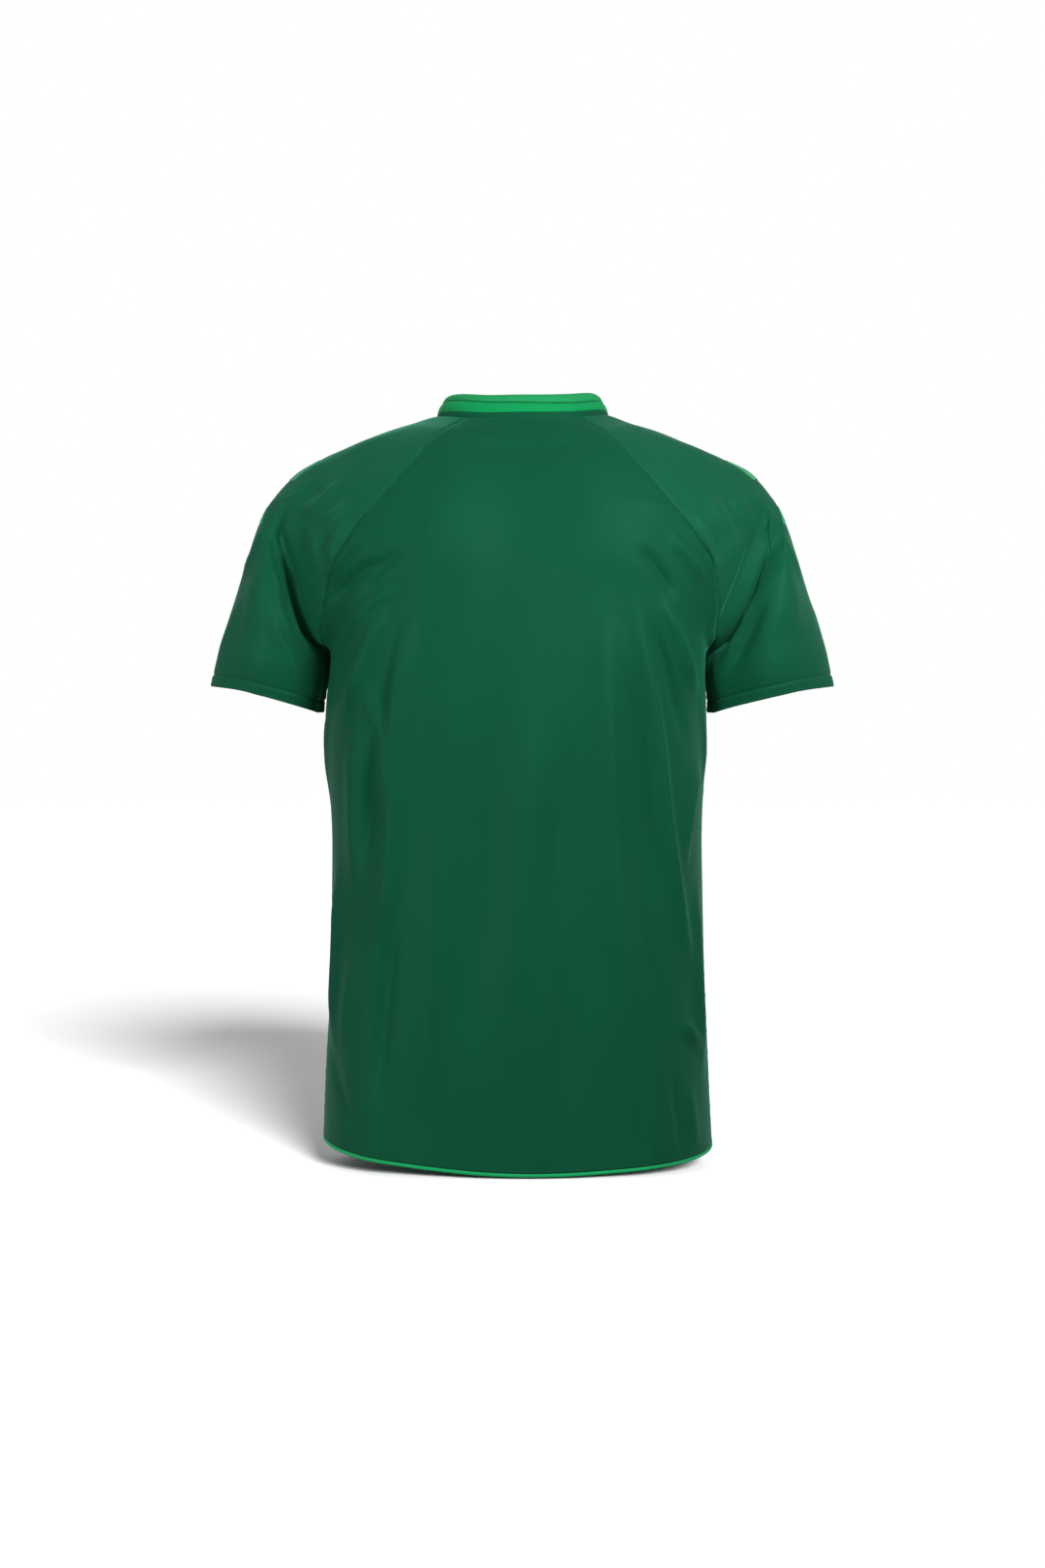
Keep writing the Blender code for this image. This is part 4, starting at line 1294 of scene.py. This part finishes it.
class JERSEY_OT_shoulder_bars(bpy.types.Operator):
    """Press two plain bars over each shoulder"""

    bl_idname = "jersey.shoulder_bars"
    bl_label = "Shoulder Bars"

    def execute(self, context):
        sizes, colours = settings(context)
        made = form(sizes)
        material = patch_material("pressed patch", colours.bars)
        for side in ("left", "right"):
            for width, first, last, start in BARS:
                points, outward = self.patch(made, f"sleeve_{side}", first, last, start, side == "right")
                raised = points + outward * (sizes.seam_gap / 2 + sizes.bar_wall)
                piece = grid_object(f"shoulder_{side}_{width}", raised, flat_places(raised))
                give_wall(piece, sizes.bar_wall)
                finish_piece(piece, material, [f"bar_{side}_{width}"])
        return {"FINISHED"}

    def patch(self, made, name, first, last, start, mirrored):
        """Read a strip of the sleeve's own surface, with its corners rounded off."""
        along = 1 - made["along"][::-1] if mirrored else made["along"]
        rows = np.linspace(-1.0, 1.0, 17)
        columns = np.linspace(-1.0, 1.0, 61)
        over = np.maximum(np.abs(columns) - (1 - BAR_CORNER), 0.0) / BAR_CORNER
        shorter = 1 - BAR_TAPER * (1 - np.sqrt(np.maximum(1 - over**2, 0.0)))
        station = (first + last) / 2 + (last - first) / 2 * rows[:, None] * shorter[None, :]
        low, high = (1 - BAR_END, 1 - start) if mirrored else (start, BAR_END)
        share = np.broadcast_to((low + high) / 2 + (high - low) / 2 * columns[None, :], station.shape)
        row = np.interp(station, made["stations"], np.arange(len(made["stations"])))
        column = np.interp(share, along, np.arange(len(along)))
        return read_grid(made[name], row, column), unit(read_grid(made[name + "_outward"], row, column))


def read_grid(values, row, column):
    """Read a grid between its points."""
    low_row = np.minimum(row.astype(int), values.shape[0] - 2)
    low_column = np.minimum(column.astype(int), values.shape[1] - 2)
    down = (row - low_row)[..., None]
    across = (column - low_column)[..., None]
    upper = values[low_row, low_column] * (1 - across) + values[low_row, low_column + 1] * across
    lower = values[low_row + 1, low_column] * (1 - across) + values[low_row + 1, low_column + 1] * across
    return upper * (1 - down) + lower * down


class JERSEY_OT_stitching(bpy.types.Operator):
    """Sew the cuffs' hems and the seam of the hem edging"""

    bl_idname = "jersey.stitching"
    bl_label = "Stitching"

    def execute(self, context):
        sizes, colours = settings(context)
        made = form(sizes)
        material = thread_material("sewing thread", colours.thread)
        for side in ("left", "right"):
            name = f"sleeve_{side}"
            line = at_run(made[name], sizes.cuff_hem)
            outward = at_run(made[name + "_outward"], 0.0)
            piece = stitches_object(f"cuff_stitches_{side}", [stitch_row(line, outward, sizes)])
            finish_piece(piece, material)
        rows = []
        for name in ("back", "front"):
            line = at_run(made[name], HEM_STITCH_UP)
            rows.append(stitch_row(line, made[name + "_outward"][-1], sizes))
        finish_piece(stitches_object("hem_stitches", rows), material)
        return {"FINISHED"}


class JERSEY_OT_studio(bpy.types.Operator):
    """Lay the pale floor, hang the soft lights and set up the camera"""

    bl_idname = "jersey.studio"
    bl_label = "Studio"

    def execute(self, context):
        studio = context.scene.jersey_studio
        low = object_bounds()[0]
        bpy.ops.object.select_all(action="DESELECT")
        place = (0.0, 0.0, low.z - FLOOR_GAP)
        bpy.ops.mesh.primitive_circle_add(vertices=96, radius=60.0, fill_type="NGON", location=place)
        floor = context.object
        floor.name = "floor"
        bpy.ops.object.mode_set(mode="EDIT")
        bpy.ops.mesh.select_all(action="SELECT")
        bpy.ops.mesh.inset(thickness=55.0)
        bpy.ops.object.mode_set(mode="OBJECT")
        bpy.ops.object.transform_apply(location=True, rotation=True, scale=True)
        floor.data.materials.append(floor_material("pale floor", studio.floor))
        floor.visible_diffuse = False
        floor.visible_glossy = False
        floor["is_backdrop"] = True

        world = bpy.data.worlds.new("soft light all round")
        world.use_nodes = True
        nodes = world.node_tree.nodes
        links = world.node_tree.links
        sky = nodes["Background"]
        sky.inputs["Color"].default_value = (1.0, 1.0, 1.0, 1.0)
        sky.inputs["Strength"].default_value = studio.sky
        seen = nodes.new("ShaderNodeBackground")
        seen.inputs["Color"].default_value = (1.0, 1.0, 1.0, 1.0)
        path = nodes.new("ShaderNodeLightPath")
        chosen = nodes.new("ShaderNodeMixShader")
        links.new(path.outputs["Is Camera Ray"], chosen.inputs[0])
        links.new(sky.outputs[0], chosen.inputs[1])
        links.new(seen.outputs[0], chosen.inputs[2])
        links.new(chosen.outputs[0], nodes["World Output"].inputs["Surface"])
        context.scene.world = world

        low_light = self.light("floor light", "SUN", (-0.72, 3.0, 0.62), studio.sun, angle=0.26)
        floor_only = bpy.data.collections.new("lit by the floor light")
        floor_only.objects.link(floor)
        low_light.light_linking.receiver_collection = floor_only
        cloth_only = bpy.data.collections.new("not lit by the soft boxes")
        cloth_only.objects.link(floor)
        cloth_only.collection_objects[0].light_linking.link_state = "EXCLUDE"
        for name, place, power, size in (
            ("soft box above the back", (-0.55, 1.05, 0.30), studio.key, 0.40),
            ("soft box low behind", (1.90, 1.50, -0.25), studio.fill, 0.60),
            ("soft box at the side", (-1.80, 0.50, 0.30), studio.rim, 0.60),
            ("soft box before the front", (0.70, -1.90, 0.30), studio.front, 0.50),
        ):
            box = self.light(name, "AREA", place, power, size=size)
            box.light_linking.receiver_collection = cloth_only
            box.visible_glossy = place[1] > 0
        camera = bpy.data.cameras.new("camera")
        camera.lens = studio.lens
        camera.sensor_width = 36.0
        camera.clip_end = 200.0
        viewer = bpy.data.objects.new("camera", camera)
        viewer.location = (0.0, studio.distance, studio.height)
        viewer.rotation_euler = (np.pi / 2, 0.0, np.pi)
        context.scene.collection.objects.link(viewer)
        context.scene.camera = viewer
        context.scene.view_settings.view_transform = "Standard"
        return {"FINISHED"}

    def light(self, name, kind, place, strength, angle=None, size=None):
        """Hang a light that points at the middle of the jersey."""
        data = bpy.data.lights.new(name, kind)
        data.energy = strength
        if angle:
            data.angle = angle
        if size:
            data.shape = "DISK"
            data.size = size
        lamp = bpy.data.objects.new(name, data)
        lamp.location = place
        aim = Vector(place) - Vector(AIM)
        lamp.rotation_euler = aim.to_track_quat("Z", "Y").to_euler()
        bpy.context.scene.collection.objects.link(lamp)
        return lamp


class JERSEY_PT_panel(bpy.types.Panel):
    """Lists the jersey's pieces in the order they are made"""

    bl_idname = "JERSEY_PT_panel"
    bl_label = "Football Jersey"
    bl_space_type = "VIEW_3D"
    bl_region_type = "UI"
    bl_category = "Jersey"

    def draw(self, context):
        for operator in OPERATORS:
            self.layout.operator(operator.bl_idname)
        for group in (context.scene.jersey_sizes, context.scene.jersey_colours, context.scene.jersey_studio):
            box = self.layout.box()
            for name in group.bl_rna.properties.keys():
                if name not in ("rna_type", "name"):
                    box.prop(group, name)


GROUPS = (JerseySizes, JerseyColours, StudioSettings)
OPERATORS = (
    JERSEY_OT_body,
    JERSEY_OT_sleeves,
    JERSEY_OT_collar,
    JERSEY_OT_hem_edging,
    JERSEY_OT_shoulder_bars,
    JERSEY_OT_stitching,
    JERSEY_OT_studio,
)


def register():
    """Add the classes and the scene's settings."""
    for kind in (*GROUPS, *OPERATORS, JERSEY_PT_panel):
        bpy.utils.register_class(kind)
    bpy.types.Scene.jersey_sizes = bpy.props.PointerProperty(type=JerseySizes)
    bpy.types.Scene.jersey_colours = bpy.props.PointerProperty(type=JerseyColours)
    bpy.types.Scene.jersey_studio = bpy.props.PointerProperty(type=StudioSettings)


def unregister():
    """Take the classes and the settings away again."""
    del bpy.types.Scene.jersey_studio
    del bpy.types.Scene.jersey_colours
    del bpy.types.Scene.jersey_sizes
    for kind in (JERSEY_PT_panel, *reversed(OPERATORS), *reversed(GROUPS)):
        bpy.utils.unregister_class(kind)


def main():
    """Make every piece in order."""
    register()
    bpy.ops.jersey.body()
    bpy.ops.jersey.sleeves()
    bpy.ops.jersey.collar()
    bpy.ops.jersey.hem_edging()
    bpy.ops.jersey.shoulder_bars()
    bpy.ops.jersey.stitching()
    bpy.ops.jersey.studio()


if __name__ == "__main__":
    main()
